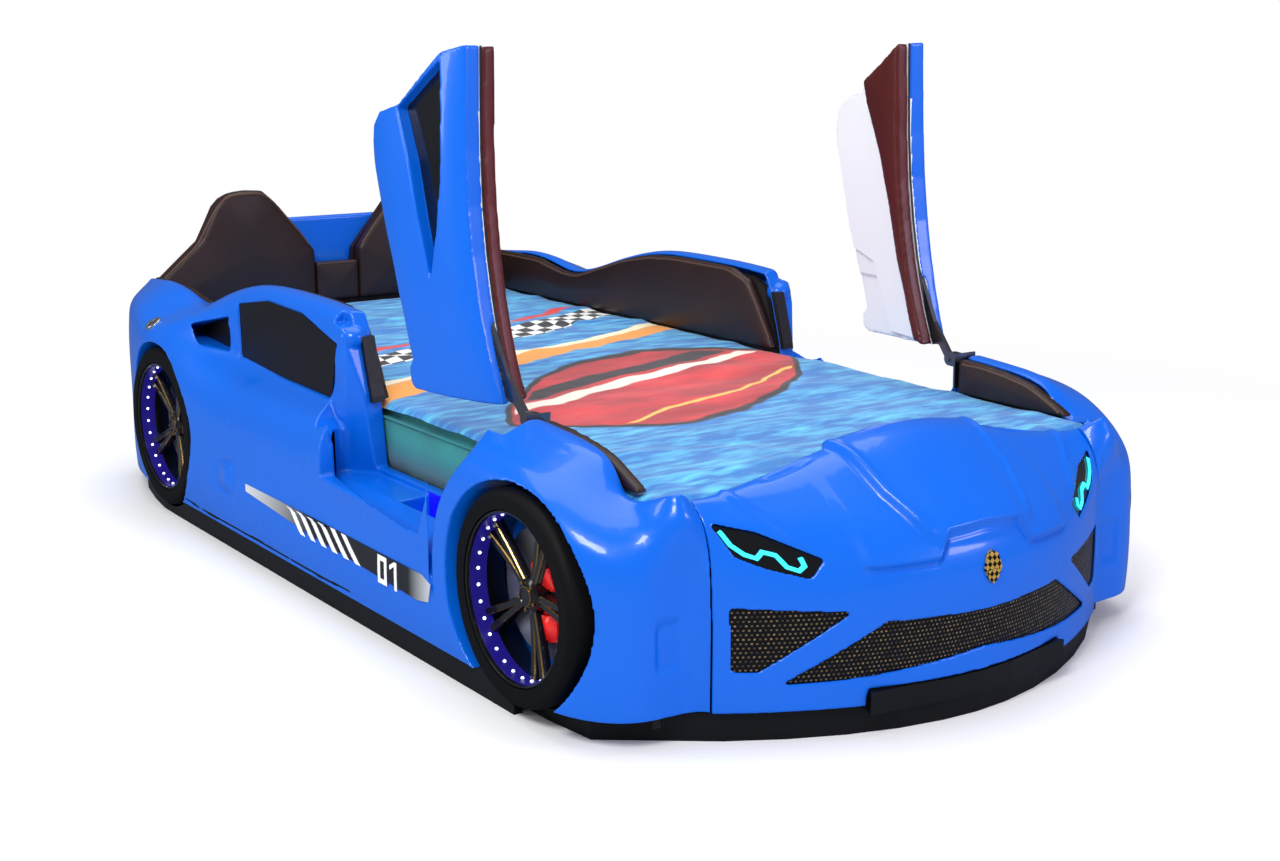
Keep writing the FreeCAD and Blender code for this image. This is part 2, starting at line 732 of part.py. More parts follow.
def splitter_edge(inward):
    """Plan points of the splitter's front edge on the left, from the middle to the wheel."""
    points = []
    for share in [0, 0.16, 0.35, 0.55, 0.75, 0.95]:
        section, _ = cowl_section(share * spine)
        points.append((share * spine, section[-1].y + inward))
    corner = [(x, y) for x, y in plan_path(inward + 34) if y < fan_front - 40 and x > spine + 12]
    return points + corner + [(v.half_width - 40 - inward, fan_front + 40), (v.half_width - 52, skirt_first - 1)]


def front_splitter():
    """The black lip under the nose, which stands on the floor and rises in the middle."""
    edge = splitter_edge(12)
    back = v.foot - 25
    half = edge + [(v.half_width - 90, skirt_first - 1), (v.half_width - 122, fan_front - 22),
                   (v.board_in - 30, back), (0, back)]
    base = plan_solid(half, 0, v.shell_bottom - 2)
    lip_edge = [p for p in splitter_edge(3) if p[0] < 200]
    lip_edge = lip_edge + [(200, lip_edge[-1][1] + 6), (170, lip_edge[-1][1] + 60), (0, lip_edge[-1][1] + 60)]
    lip = plan_solid(lip_edge, v.shell_bottom - 12, v.shell_bottom + 22)
    left = largest(clear_of_wheels(base.fuse(lip)).cut(frame_block()))
    return left.fuse(mirrored(left)).removeSplitter()


node(feature("FrontSplitter", front_splitter()), "front_splitter")

# ---------------------------------------------------------------- build: wheels

face_x = v.half_width - v.wheel_inset
wheel_radius = v.wheel_dia / 2
rim_radius = v.rim_dia / 2
SPOKES = 5


def tyre():
    """A tyre with rounded shoulders, round the X axis, its outer face at X = 0."""
    body = ring(wheel_radius, rim_radius, -v.tyre_width, v.tyre_width)
    shoulder = [e for e in body.Edges if e.isClosed() and abs(e.BoundBox.ZMax - wheel_radius) < 0.1]
    return body.makeFillet(14, shoulder)


def rim():
    """A deep barrel with five pairs of spokes on a hub."""
    barrel = ring(rim_radius - v.seat_gap, rim_radius - v.rim_wall - v.seat_gap, -v.tyre_width, v.tyre_width - 6)
    back = -v.tyre_width - 6 + v.seat_gap
    hub = Part.makeCylinder(26, -30 - back, Vector(back, 0, 0), Vector(1, 0, 0))
    parts = [barrel, hub]
    for i in range(SPOKES):
        for lean in (-9, 9):
            spoke = Part.makeBox(9, 9, rim_radius - v.rim_wall / 2, Vector(-48, -4.5, 0))
            spoke.rotate(Vector(), Vector(1, 0, 0), 360 / SPOKES * i + lean)
            parts.append(spoke)
    return fused(parts).removeSplitter()


def brake_disc():
    return ring(v.disc_dia / 2, 26 + v.seat_gap, -62, v.disc_thick)


def caliper(turn):
    """A red block over the edge of the disc."""
    outer = ring(v.disc_dia / 2 + 8, v.disc_dia / 2 - 34, -55.7, 6)
    wedge = Part.makeBox(40, 66, 66, Vector(-70, 0, 0))
    wedge.rotate(Vector(), Vector(1, 0, 0), turn)
    return largest(outer.common(wedge))


def led_strip():
    """A thin band on the inside of the barrel, in front of the spokes."""
    outer = rim_radius - v.rim_wall - 2 * v.seat_gap
    return ring(outer, outer - 2.5, -36, 28)


def at_wheel(shape, side, axle):
    moved = shape.copy()
    moved.translate(Vector(face_x, axle, v.axle_height))
    return for_side(moved, side)


def wheel_place(side, axle):
    turned = Rotation(Vector(0, 0, 1), 0 if side == LEFT else 180)
    return Placement(Vector(side * face_x, axle, v.axle_height), turned)


WHEELS = [(end, side_name, side, axle) for end, axle in (("front", v.front_axle), ("rear", v.rear_axle))
          for side_name, side in SIDES]
one_tyre, one_rim, one_disc, one_strip = tyre(), rim(), brake_disc(), led_strip()
one_pair = [caliper(180 + 50), caliper(180 - 50 - 34)]
for end, side_name, side, axle in WHEELS:
    name = "%s_%s" % (end, side_name)
    node(feature("Tyre_" + name, one_tyre, wheel_place(side, axle)), "tyre_" + name)
    node(feature("Rim_" + name, one_rim, wheel_place(side, axle)), "rim_" + name)
discs = [at_wheel(one_disc, side, axle) for _, _, side, axle in WHEELS]
strips = [at_wheel(one_strip, side, axle) for _, _, side, axle in WHEELS]
calipers = [at_wheel(c, side, axle) for _, _, side, axle in WHEELS for c in one_pair]
node(feature("BrakeDiscs", Part.makeCompound(discs)), "brake_discs")
node(feature("WheelLights", Part.makeCompound(strips)), "wheel_light_strips")
node(feature("BrakeCalipers", Part.makeCompound(calipers)), "brake_calipers")

# ---------------------------------------------------------------- build: small body parts

for name, side in SIDES:
    panels = [prism_x(o, window_face - v.window_recess, window_face - v.window_recess + v.window_thick)
              for o in WINDOWS]
    node(feature("Windows_" + name, for_side(Part.makeCompound(panels), side)), "windows_" + name)


def side_film(outline, first, last, low, high):
    """A plate that follows the outside of the left body over a (y, z) outline."""
    near = [r for r in evened(side_rows(), 85) if first - 190 < r[1] < last + 190 and abs(r[0]) < 1]
    over = loft([section_points(r, -high) for r in near])
    under = loft([section_points(r, -low) for r in near])
    return largest(prism_x(outline, v.half_width - 70, v.half_width + 20).common(over).cut(under))


def cowl_film(outline, low, high, reach):
    """A plate that follows the outside of the front cowl over an (x, z) outline."""
    spots = [reach * i / 4 for i in range(-4, 5)]
    over = loft([cowl_section(x, -high) for x in spots])
    under = loft([cowl_section(x, -low) for x in spots])
    return largest(prism_y(outline, v.foot - v.nose_length - 30, v.foot - 60).common(over).cut(under))


def band(points, width):
    """An outline round a zigzag line."""
    one = inset(points, width / 2)
    other = inset(points, -width / 2)
    return one + other[::-1]


STRIPE = [(220, 158), (-462, 160), (-490, 150), (-482, 120), (-446, 114), (-60, 128), (216, 145)]
stripe = side_film(STRIPE, -490, 220, 0.5, 1.7)
node(feature("SideStripes", Part.makeCompound([stripe, mirrored(stripe)])), "side_stripes")
CAP_Y, CAP_Z, CAP_RADIUS = v.rear_axle + 45, 389, 18
circle = [(CAP_Y + CAP_RADIUS * math.cos(math.radians(a)), CAP_Z + CAP_RADIUS * math.sin(math.radians(a)))
          for a in range(0, 360, 12)]
cap = side_film(circle, CAP_Y, CAP_Y, 0.6, 3.4)
node(feature("FuelCaps", Part.makeCompound([cap, mirrored(cap)])), "fuel_caps")
BADGE = [(-17, 226), (-11, 246), (0, 252), (11, 246), (17, 226), (9, 210), (0, 203), (-9, 210)]
node(feature("NoseBadge", cowl_film(BADGE, 0.5, 4, 60)), "nose_badge")
GUIDE = [(379, 305), (370, 287), (355, 274), (340, 268), (331, 276), (315, 271), (304, 255), (289, 249),
         (281, 255), (284, 266)]
guides = [behind_opening(band(o, 6), cowl_solid(1.6).cut(cowl_solid(4.6)), 0.01) for o in (GUIDE, flipped(GUIDE))]
node(feature("LightGuides", Part.makeCompound(guides)), "headlamp_light_guides")
lights = []
for name, side in SIDES:
    start = "board_out + 5.5 + seat_gap" if side == LEFT else "-board_out - 5.5 - seat_gap - 2.5"
    lights.append(box("SillLight_" + name, start, "foot + 541",
                      "sill_top - foot_drop + 3", "2.5", "68", "foot_drop - 6"))
node(group("SillLights", lights), "sill_lights")

# ---------------------------------------------------------------- build: doors

def door_skin(start, arm_room):
    """The painted outside of a door, fuller in its middle, with room for the arm behind it."""
    full = door_prism(DOOR_OUTLINE, start, 100)
    edge = start + v.door_skin
    wires = []
    for up, front, rear, swell in [(-20, 20, 290, 0.45), (90, 55, 310, 0.75), (250, 92, 360, 1),
                                   (400, 108, 400, 1), (600, 110, 420, 0.6)]:
        bulge = swell * v.door_bulge
        section = [(start - 5, front - 26), (edge - 9, front - 14), (edge, front), (edge + bulge * 0.8, front + 44),
                   (edge + bulge, mix(front, rear, 0.5)), (edge + bulge * 0.7, rear - 44), (edge - 3, rear - 2),
                   (start - 5, rear + 14)]
        points = [Vector(x, y, up) for x, y in section]
        spline = Part.BSplineCurve()
        spline.interpolate(points)
        wires.append(Part.Wire([spline.toShape(), Part.makeLine(points[-1], points[0])]))
    body = full.common(Part.makeLoft(wires, True, False))
    foot_relief = Part.makeBox(5, 200, 130, Vector(start - 1, 150, -10))
    return largest(body.cut([door_prism(grown(DOOR_ARM, 3), start - 1, arm_room + 1), foot_relief]))


def door_piece(name, shape, side):
    return feature(name, for_side(shape, side), door_place(side))


arm_room = v.door_arm + 3 * v.seat_gap
skin_solid = door_skin(layer_skin, arm_room)
intake_floor = layer_skin + v.door_skin - 2
intake_tool = door_prism(DOOR_INTAKE, intake_floor, 100)
intake = door_prism(grown(DOOR_INTAKE, -v.seat_gap), intake_floor + v.seat_gap, 3)
pin_bore = Part.makeCylinder(v.pin_dia / 2 + v.pin_clear, 200, Vector(-50, 0, 0), Vector(1, 0, 0))
arm_solid = door_prism(DOOR_ARM, layer_arm, v.door_arm).cut(pin_bore)


def hinge_bracket():
    """Two lugs on a web that bolts to the end of the side board."""
    web = Part.makeBox(46, v.lug_thick, 62, Vector(18, -30, -48))
    parts = [web]
    for start in (layer_arm - v.lug_thick - 0.6, layer_arm + v.door_arm + 0.6):
        eye = Part.makeCylinder(12, v.lug_thick, Vector(start, 0, 0), Vector(1, 0, 0))
        plate = Part.makeBox(v.lug_thick, 28, 24, Vector(start, -28, -12))
        parts.append(eye.fuse(plate))
    return largest(fused(parts).cut(pin_bore))


bracket = hinge_bracket()
pin = Part.makeCylinder(v.pin_dia / 2, v.door_arm + 2 * v.lug_thick + 6,
                        Vector(layer_arm - v.lug_thick - 3, 0, 0), Vector(1, 0, 0))
for name, side in SIDES:
    node(door_piece("DoorShell_" + name, skin_solid.cut(intake_tool), side), "door_shell_" + name)
    node(door_piece("DoorIntake_" + name, intake, side), "door_intake_" + name)
    panel = door_prism(grown(DOOR_PANEL, -1), layer_back, v.door_back)
    node(door_piece("DoorPanel_" + name, panel, side), "door_panel_" + name)
    node(door_piece("DoorArm_" + name, arm_solid, side), "door_arm_" + name)
    trim = door_prism(DOOR_PAD, 0, v.door_pad)
    node(door_piece("DoorTrim_" + name, trim, side), "door_trim_" + name)
    node(door_piece("HingeBracket_" + name, bracket, side), "hinge_bracket_" + name)
    node(door_piece("HingePin_" + name, pin, side), "hinge_pin_" + name)

# ---------------------------------------------------------------- build: upholstery

def side_top(y, kind_drop=0):
    """The height of the shell's inner edge at a distance along the body."""
    rows = [r for r in evened(side_rows(), 26) if abs(r[0]) < 1]
    before = [r for r in rows if r[1] <= y][-1:] or rows[:1]
    after = [r for r in rows if r[1] > y][:1] or rows[-1:]
    (a,), (b,) = before, after
    share = (y - a[1]) / (b[1] - a[1]) if b[1] > a[1] else 0
    return mix(a[3], b[3], share) - kind_drop


def top_line(first, last, drop, count=24):
    return [(mix(first, last, i / count), side_top(mix(first, last, i / count), drop)) for i in range(count + 1)]


pad_low = v.sleep_top + 4
pad_in = v.board_in + 0.2 - v.pad_thick
pad_front, pad_break = v.foot + 44, hinge_y - 39
pillar_line = [(pillar_y + 22, pad_low), (pillar_y + 66, 424), (pillar_y + 106, 480)]


def padded(outline, thick_from, thick_to, edge=4):
    """An upholstered board with a rounded rim on its inner side, from a (y, z) outline."""
    body = prism_x(outline, thick_from, thick_to)
    rim = [e for e in body.Edges if abs(e.BoundBox.XMax - thick_from) < 0.01]
    try:
        soft = body.makeFillet(edge, rim)
        return soft if soft.isValid() and soft.Volume > 0 else body
    except Part.OCCError:
        return body


fender_outline = [(pad_front, pad_low), (pad_front + 4, pad_low + 6)]
fender_outline += top_line(fan_front + 8, pad_break, 5, 14) + [(pad_break, pad_low)]
side_first, side_last = pillar_line[-1][0], v.head - 2
side_outline = pillar_line + top_line(side_first + 14, side_last, 7)[1:] + [(side_last, pad_low)]
for name, side in SIDES:
    pad = padded(fender_outline, pad_in, v.board_in - 0.1)
    node(feature("FenderPad_" + name, for_side(pad, side)), "fender_pad_" + name)
    pad = padded(side_outline, pad_in, v.board_in - 0.1)
    node(feature("SidePad_" + name, for_side(pad, side)), "side_pad_" + name)

trim_line = [(pillar_y + 17.9, pad_low + 2), (pillar_y + 20, 360), (pillar_y + 52, 460)]
trim = prism_x([(y - 12, z) for y, z in trim_line] + [(y - 0.3, z) for y, z in reversed(trim_line)],
               v.board_in + 1, v.board_in + 25)
node(feature("PillarTrims", Part.makeCompound([trim, mirrored(trim)])), "pillar_trims")

HEAD_LINE = [(424, 436), (380, 474), (334, 513), (313, 552), (294, 589), (277, 606), (258, 614), (220, 618),
             (180, 615), (150, 588), (114, 544), (86, 512), (55, 474)]


def head_outline(inner, low, shift=0):
    """Half of the headboard from the bed's middle out, with its shoulder and its raised back."""
    line = [(x, z - shift) for x, z in HEAD_LINE if x > inner]
    return [(inner, low), (v.half_bed - 3, low), (v.half_bed - 3, 424 - shift)] + line + [
        (inner, HEAD_LINE[-1][1] - 4 - shift if inner < 60 else 520)]


def soft_panel(outline, y_from, y_to, edge=6):
    """An upholstered panel with a rounded rim towards the bed, from an (x, z) outline."""
    body = prism_y(outline, y_from, y_to)
    rim = [e for e in body.Edges if abs(e.BoundBox.YMax - y_from) < 0.01]
    try:
        soft = body.makeFillet(edge, rim)
        return soft if soft.isValid() and soft.Volume > 0 else body
    except Part.OCCError:
        return body


head_low = v.sleep_top + 6
head_from, head_to = v.head + 2, v.head + 2 + v.head_pad
for name, side in SIDES:
    panel = soft_panel(head_outline(55.2, head_low), head_from, head_to)
    node(feature("HeadPad_" + name, for_side(panel, side)), "headboard_pad_" + name)
centre_pad = [(-54.8, head_low), (54.8, head_low), (54.8, 442), (-54.8, 442)]
node(feature("HeadPadCentre", soft_panel(centre_pad, head_from, head_to)), "headboard_pad_centre")
core = [(-v.half_bed + 4, v.board_clear), (v.half_bed - 4, v.board_clear), (v.half_bed - 4, 418)]
core += [(x - 3, z - 6) for x, z in HEAD_LINE] + [(48, 436), (-48, 436)]
core += [(-x + 3, z - 6) for x, z in reversed(HEAD_LINE)] + [(-v.half_bed + 4, 418)]
core_from = head_to + v.seat_gap
node(feature("HeadboardCore", prism_y(core, core_from, core_from + v.board_thick)), "headboard_core")

# ---------------------------------------------------------------- build: side boards and foot board

def side_board():
    """The frame board under the shell's inner edge, low across the door opening."""
    first, last = v.foot - v.board_thick, core_from + v.board_thick
    door_first, door_last = hinge_y + 186, pillar_y
    board_break = hinge_y - 37.3
    low_top = v.sill_top - v.wall - 0.6
    line = [(first, v.board_clear), (first, 296), (v.foot + 30, 308), (fan_front - 20, 338)]
    line += top_line(fan_front + 10, board_break, v.wall + 16, 8)
    line += [(board_break, 142), (door_first, 142), (door_first, low_top), (door_last + 6, low_top),
             (door_last + 36, 360), (door_last + 72, 466)]
    line += top_line(door_last + 112, last - 130, v.wall + 14, 24) + [(last, v.tail_top - 100), (last, v.board_clear)]
    return prism_x(line, v.board_in, v.board_out)


for name, side in SIDES:
    board = side_board()
    node(feature("SideBoard_" + name, for_side(board, side)), "side_board_" + name)

node(box("FootBoard", "-board_in + seat_gap", "foot - board_thick - 2", "board_clear", "2 * board_in - 2 * seat_gap",
         "foot_board_thick", "nose_top - board_clear - 40"), "foot_board")

# ---------------------------------------------------------------- build: bed base

beam_low = "bed_height - slat_thick - ledger_height"
node(box("CentreBeam", "-beam_width / 2", "foot + 1", beam_low, "beam_width",
         "mattress_length + 26", "ledger_height - seat_gap"), "centre_beam")
ledgers = []
for side_name, start in (("Right", "-board_in + seat_gap"), ("Left", "board_in - seat_gap - ledger_width")):
    ledgers.append(box("Ledger" + side_name, start, "foot + 1", beam_low, "ledger_width",
                       "mattress_length + 26", "ledger_height - seat_gap"))
node(group("Ledgers", ledgers), "slat_ledgers")
slats = []
for i in range(int(v.slat_count)):
    start = "foot + 12 + %d * (mattress_length - 24 - slat_width) / (slat_count - 1)" % i
    slats.append(box("Slat%02d" % (i + 1), "-board_in + 2", start, "bed_height - slat_thick", "2 * board_in - 4",
                     "slat_width", "slat_thick - seat_gap"))
node(group("Slats", slats), "slats")
glides = []
for i, y in enumerate(["foot + 300", "0", "head - 160"]):
    for j, x in enumerate(["-board_out + 8", "board_out - 8"]):
        glides.append(cylinder("Glide%d%d" % (i, j), "Z", x, y, "0", "glide_dia / 2", "board_clear - seat_gap"))
node(group("Glides", glides), "floor_glides")
legs = []
for i, y in enumerate(["foot + 500", "head - 500"]):
    legs.append(box("Leg%d" % i, "-beam_width / 2", y, "0", "beam_width", "beam_width",
                    "bed_height - slat_thick - ledger_height - seat_gap"))
node(group("Legs", legs), "centre_legs")

# ---------------------------------------------------------------- build: mattress and cover

node(box("Mattress", "-half_bed", "foot", "bed_height", "2 * half_bed", "mattress_length", "mattress_thick"),
     "mattress")


def bedspread():
    """A quilted cover on the mattress, crowned a little and falling a hand over its edges."""
    low, high = v.bed_height + v.mattress_thick + v.seat_gap, v.sleep_top
    x, first, last = v.half_bed - 1, v.foot + 1, v.head - 1
    body = Part.makeBox(2 * x, last - first, high - low, Vector(-x, first, low))
    rim = [e for e in body.Edges if abs(e.BoundBox.ZMin - high) < 0.01]
    return body.makeFillet(6, rim)


node(feature("Bedspread", bedspread()), "bedspread")

# ---------------------------------------------------------------- check and write

doc.recompute()
for obj in doc.Objects:
    if "Invalid" in obj.State or "Error" in obj.State:
        raise RuntimeError("%s failed: %s" % (obj.Name, obj.State))
for obj in NODES:
    if obj.Shape.isNull() or not obj.Shape.isValid():
        raise RuntimeError("%s has no valid shape" % obj.Label)

os.makedirs("parts", exist_ok=True)
for obj in NODES:
    obj.Shape.exportStep("parts/%s.step" % obj.Label)
    bounds = obj.Shape.BoundBox
    print("%-24s solids %2d  x %6.0f %6.0f  y %6.0f %6.0f  z %5.0f %5.0f" % (
        obj.Label, len(obj.Shape.Solids), bounds.XMin, bounds.XMax, bounds.YMin, bounds.YMax,
        bounds.ZMin, bounds.ZMax))
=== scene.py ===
import math

import bpy
import bmesh
import numpy as np
from mathutils import Matrix, Vector, kdtree, noise
from mathutils.bvhtree import BVHTree


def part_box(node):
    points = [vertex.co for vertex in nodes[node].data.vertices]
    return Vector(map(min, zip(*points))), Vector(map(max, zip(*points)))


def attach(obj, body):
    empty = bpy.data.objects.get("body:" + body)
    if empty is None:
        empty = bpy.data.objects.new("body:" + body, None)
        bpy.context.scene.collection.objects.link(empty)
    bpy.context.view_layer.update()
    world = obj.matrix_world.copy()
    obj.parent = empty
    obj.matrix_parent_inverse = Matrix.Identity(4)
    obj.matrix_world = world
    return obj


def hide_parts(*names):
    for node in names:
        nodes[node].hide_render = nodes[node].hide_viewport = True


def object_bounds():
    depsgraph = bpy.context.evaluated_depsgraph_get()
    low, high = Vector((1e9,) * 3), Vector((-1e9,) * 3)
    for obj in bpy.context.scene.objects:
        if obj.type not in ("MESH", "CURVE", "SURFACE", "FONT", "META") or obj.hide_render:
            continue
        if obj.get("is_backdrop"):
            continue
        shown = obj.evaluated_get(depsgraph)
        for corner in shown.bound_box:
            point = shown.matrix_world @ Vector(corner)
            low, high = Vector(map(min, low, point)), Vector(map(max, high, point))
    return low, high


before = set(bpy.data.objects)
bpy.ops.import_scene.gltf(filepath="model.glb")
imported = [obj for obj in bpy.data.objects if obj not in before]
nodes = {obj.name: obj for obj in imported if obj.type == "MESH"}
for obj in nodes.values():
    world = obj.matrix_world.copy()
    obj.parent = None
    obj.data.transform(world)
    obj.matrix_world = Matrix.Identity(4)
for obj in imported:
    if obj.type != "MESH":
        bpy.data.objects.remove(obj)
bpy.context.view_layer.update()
scene = bpy.context.scene
BED, NEAR, FAR = "bed", "right_door_leaf", "left_door_leaf"
SIDES = ("right", "left")

# ------------------------------------------------------------------ materials


def srgb(r, g, b):
    """0-255 display values as the linear colour a socket takes."""
    def channel(c):
        c /= 255
        return c / 12.92 if c <= 0.04045 else ((c + 0.055) / 1.055) ** 2.4
    return (channel(r), channel(g), channel(b), 1.0)


def material(name, colour, rough=0.5, metal=0.0, coat=0.0, spec=0.5, emit=None, strength=0.0):
    """A Principled material, with an emission where its colour is given."""
    mat = bpy.data.materials.new(name)
    mat.use_nodes = True
    shader = shader_of(mat)
    shader.inputs["Base Color"].default_value = colour
    shader.inputs["Roughness"].default_value = rough
    shader.inputs["Metallic"].default_value = metal
    shader.inputs["Coat Weight"].default_value = coat
    shader.inputs["Coat Roughness"].default_value = 0.06
    shader.inputs["Specular IOR Level"].default_value = spec
    if emit:
        shader.inputs["Emission Color"].default_value = emit
        shader.inputs["Emission Strength"].default_value = strength
    return mat


def shader_of(mat):
    return mat.node_tree.nodes["Principled BSDF"]


def add_node(mat, kind, **values):
    made = mat.node_tree.nodes.new(kind)
    for key, value in values.items():
        setattr(made, key, value)
    return made


def wire(mat, out, into):
    mat.node_tree.links.new(out, into)


def coordinates(mat):
    """Object coordinates, which are the row frame's metres on every piece."""
    return add_node(mat, "ShaderNodeTexCoord").outputs["Object"]


def noise_of(mat, scale, detail=4, stretch=None):
    """A noise over the piece, stretched along its axes where asked."""
    texture = add_node(mat, "ShaderNodeTexNoise")
    texture.inputs["Scale"].default_value = scale
    texture.inputs["Detail"].default_value = detail
    source = coordinates(mat)
    if stretch:
        mapping = add_node(mat, "ShaderNodeMapping")
        mapping.inputs["Scale"].default_value = stretch
        wire(mat, source, mapping.inputs["Vector"])
        source = mapping.outputs["Vector"]
    wire(mat, source, texture.inputs["Vector"])
    return texture.outputs["Fac"]


def ranged(mat, value, low, high):
    """A value of 0 to 1 brought into a range."""
    made = add_node(mat, "ShaderNodeMapRange")
    made.inputs["To Min"].default_value = low
    made.inputs["To Max"].default_value = high
    wire(mat, value, made.inputs["Value"])
    return made.outputs["Result"]


def speckle(mat, scale, low, high, socket="Roughness"):
    """Varies a value a little over the surface."""
    wire(mat, ranged(mat, noise_of(mat, scale), low, high), shader_of(mat).inputs[socket])


def bumped(mat, height, strength, distance):
    """A height in a material turned into its bump."""
    bump = add_node(mat, "ShaderNodeBump")
    bump.inputs["Strength"].default_value = strength
    bump.inputs["Distance"].default_value = distance
    wire(mat, height, bump.inputs["Height"])
    wire(mat, bump.outputs["Normal"], shader_of(mat).inputs["Normal"])


def grain(mat, scale, strength, distance):
    """A fine bump."""
    bumped(mat, noise_of(mat, scale, 6), strength, distance)


def maths(mat, kind, a, b=None, clamp=False):
    """One sum on numbers or sockets."""
    made = add_node(mat, "ShaderNodeMath", operation=kind, use_clamp=clamp)
    for value, socket in ((a, 0), (b, 1)):
        if value is None:
            continue
        if isinstance(value, (int, float)):
            made.inputs[socket].default_value = value
        else:
            wire(mat, value, made.inputs[socket])
    return made.outputs["Value"]


def mixed(mat, share, one, two):
    """A colour between two, which are colours or sockets."""
    made = add_node(mat, "ShaderNodeMix", data_type="RGBA")
    wire(mat, share, made.inputs[0])
    for value, socket in ((one, made.inputs[6]), (two, made.inputs[7])):
        if isinstance(value, tuple):
            socket.default_value = value
        else:
            wire(mat, value, socket)
    return made.outputs[2]


def two_tone(mat, share, one, two):
    """Colours a material between two, by a noise."""
    wire(mat, mixed(mat, share, one, two), shader_of(mat).inputs["Base Color"])


def axes(mat):
    """The place's X, Y and Z."""
    made = add_node(mat, "ShaderNodeSeparateXYZ")
    wire(mat, coordinates(mat), made.inputs["Vector"])
    return made.outputs["X"], made.outputs["Y"], made.outputs["Z"]


def between(mat, value, first, last, soft=0.004):
    """1 between two values, with soft edges."""
    rise = add_node(mat, "ShaderNodeMapRange", interpolation_type="SMOOTHSTEP")
    fall = add_node(mat, "ShaderNodeMapRange", interpolation_type="SMOOTHSTEP")
    for made, at in ((rise, first), (fall, last)):
        made.inputs["From Min"].default_value = at - soft
        made.inputs["From Max"].default_value = at + soft
        wire(mat, value, made.inputs["Value"])
    return maths(mat, "SUBTRACT", rise.outputs["Result"], fall.outputs["Result"], True)


paint = material("blue_paint", srgb(0, 98, 214), rough=0.30, coat=0.35, spec=0.3)
speckle(paint, 14, 0.26, 0.34)
plastic = material("black_plastic", srgb(14, 14, 16), rough=0.42, spec=0.4)
speckle(plastic, 90, 0.36, 0.5)
grain(plastic, 900, 0.25, 0.0004)
gloss = material("dark_gloss", srgb(9, 10, 13), rough=0.14, coat=0.6)
speckle(gloss, 6, 0.1, 0.18)
glass = material("window_glass", srgb(20, 18, 18), rough=0.34, spec=0.22)
speckle(glass, 5, 0.3, 0.42)
rubber = material("tyre_rubber", srgb(9, 9, 10), rough=0.6, spec=0.18)
speckle(rubber, 60, 0.55, 0.7)
grain(rubber, 500, 0.3, 0.0005)
rim_black = material("rim_black", srgb(14, 14, 16), rough=0.26, metal=0.2, coat=0.4)
speckle(rim_black, 40, 0.18, 0.3)
gold = material("rim_gold", srgb(196, 160, 92), rough=0.28, metal=1.0)
speckle(gold, 60, 0.2, 0.36)
steel = material("steel", srgb(120, 122, 126), rough=0.35, metal=1.0)
speckle(steel, 120, 0.28, 0.42)
disc_metal = material("brake_disc", srgb(150, 152, 156), rough=0.34, metal=0.85)
speckle(disc_metal, 200, 0.22, 0.4)
# The calipers are given a faint red emission: a painted glow, as they are no lamp.
red = material("caliper_red_painted_glow", srgb(226, 24, 22), rough=0.35, coat=0.5, emit=srgb(226, 24, 22),
               strength=0.12)
speckle(red, 80, 0.28, 0.42)
strip_navy = material("light_strip", srgb(22, 16, 92), rough=0.3, emit=srgb(34, 22, 150), strength=0.35)
speckle(strip_navy, 70, 0.24, 0.4)
led_white = material("led_white", srgb(235, 240, 255), rough=0.3, emit=srgb(225, 232, 255), strength=2.2)
speckle(led_white, 200, 0.25, 0.35)
cyan = material("light_guide", srgb(60, 220, 230), rough=0.3, emit=srgb(40, 215, 235), strength=0.75)
speckle(cyan, 100, 0.25, 0.35)
sill_blue = material("sill_light", srgb(12, 6, 215), rough=0.3, emit=srgb(10, 2, 235), strength=0.9)
speckle(sill_blue, 60, 0.25, 0.4)
white_panel = material("white_panel", srgb(243, 244, 247), rough=0.45)
speckle(white_panel, 50, 0.4, 0.52)
white_ink = material("white_ink", srgb(240, 241, 243), rough=0.4)
speckle(white_ink, 50, 0.35, 0.48)
silver = material("cap_silver", srgb(176, 182, 190), rough=0.26, metal=0.9)
speckle(silver, 90, 0.2, 0.34)
board = material("board", srgb(196, 178, 150), rough=0.6)
WOOD_STRETCH = (2, 0.5, 14)
two_tone(board, noise_of(board, 9, 8, WOOD_STRETCH), srgb(176, 150, 112), srgb(214, 192, 158))
grain(board, 240, 0.2, 0.0004)
# Near-black board colour for the foot and side boards: painted shade, standing for the shade in the gap
# under the shell where they show.
shade_board = material("shade_dark_board", srgb(30, 28, 28), rough=0.6)
two_tone(shade_board, noise_of(shade_board, 9, 8, WOOD_STRETCH), srgb(18, 17, 17), srgb(40, 36, 34))

leather = material("dark_leather", srgb(34, 17, 13), rough=0.42, spec=0.5)
two_tone(leather, noise_of(leather, 5, 3), srgb(24, 12, 10), srgb(52, 24, 17))
cells = add_node(leather, "ShaderNodeTexVoronoi", feature="DISTANCE_TO_EDGE")
cells.inputs["Scale"].default_value = 420
wire(leather, coordinates(leather), cells.inputs["Vector"])
bumped(leather, cells.outputs["Distance"], 0.35, 0.0008)
piping = material("leather_piping", srgb(74, 48, 34), rough=0.5)
two_tone(piping, noise_of(piping, 300, 3), srgb(62, 38, 28), srgb(96, 66, 46))
door_leather = material("door_leather", srgb(70, 14, 12), rough=0.36, spec=0.5)
two_tone(door_leather, noise_of(door_leather, 4, 3, (1, 1, 0.6)), srgb(26, 12, 10), srgb(104, 20, 14))
grain(door_leather, 600, 0.3, 0.0006)

teal = material("mattress_cloth", srgb(0, 120, 126), rough=0.75)
shader_of(teal).inputs["Sheen Weight"].default_value = 0.3
two_tone(teal, noise_of(teal, 7, 4), srgb(0, 98, 104), srgb(4, 150, 150))
weave = add_node(teal, "ShaderNodeTexWave", bands_direction="DIAGONAL")
weave.inputs["Scale"].default_value = 260
wire(teal, coordinates(teal), weave.inputs["Vector"])
bumped(teal, weave.outputs["Fac"], 0.3, 0.0006)


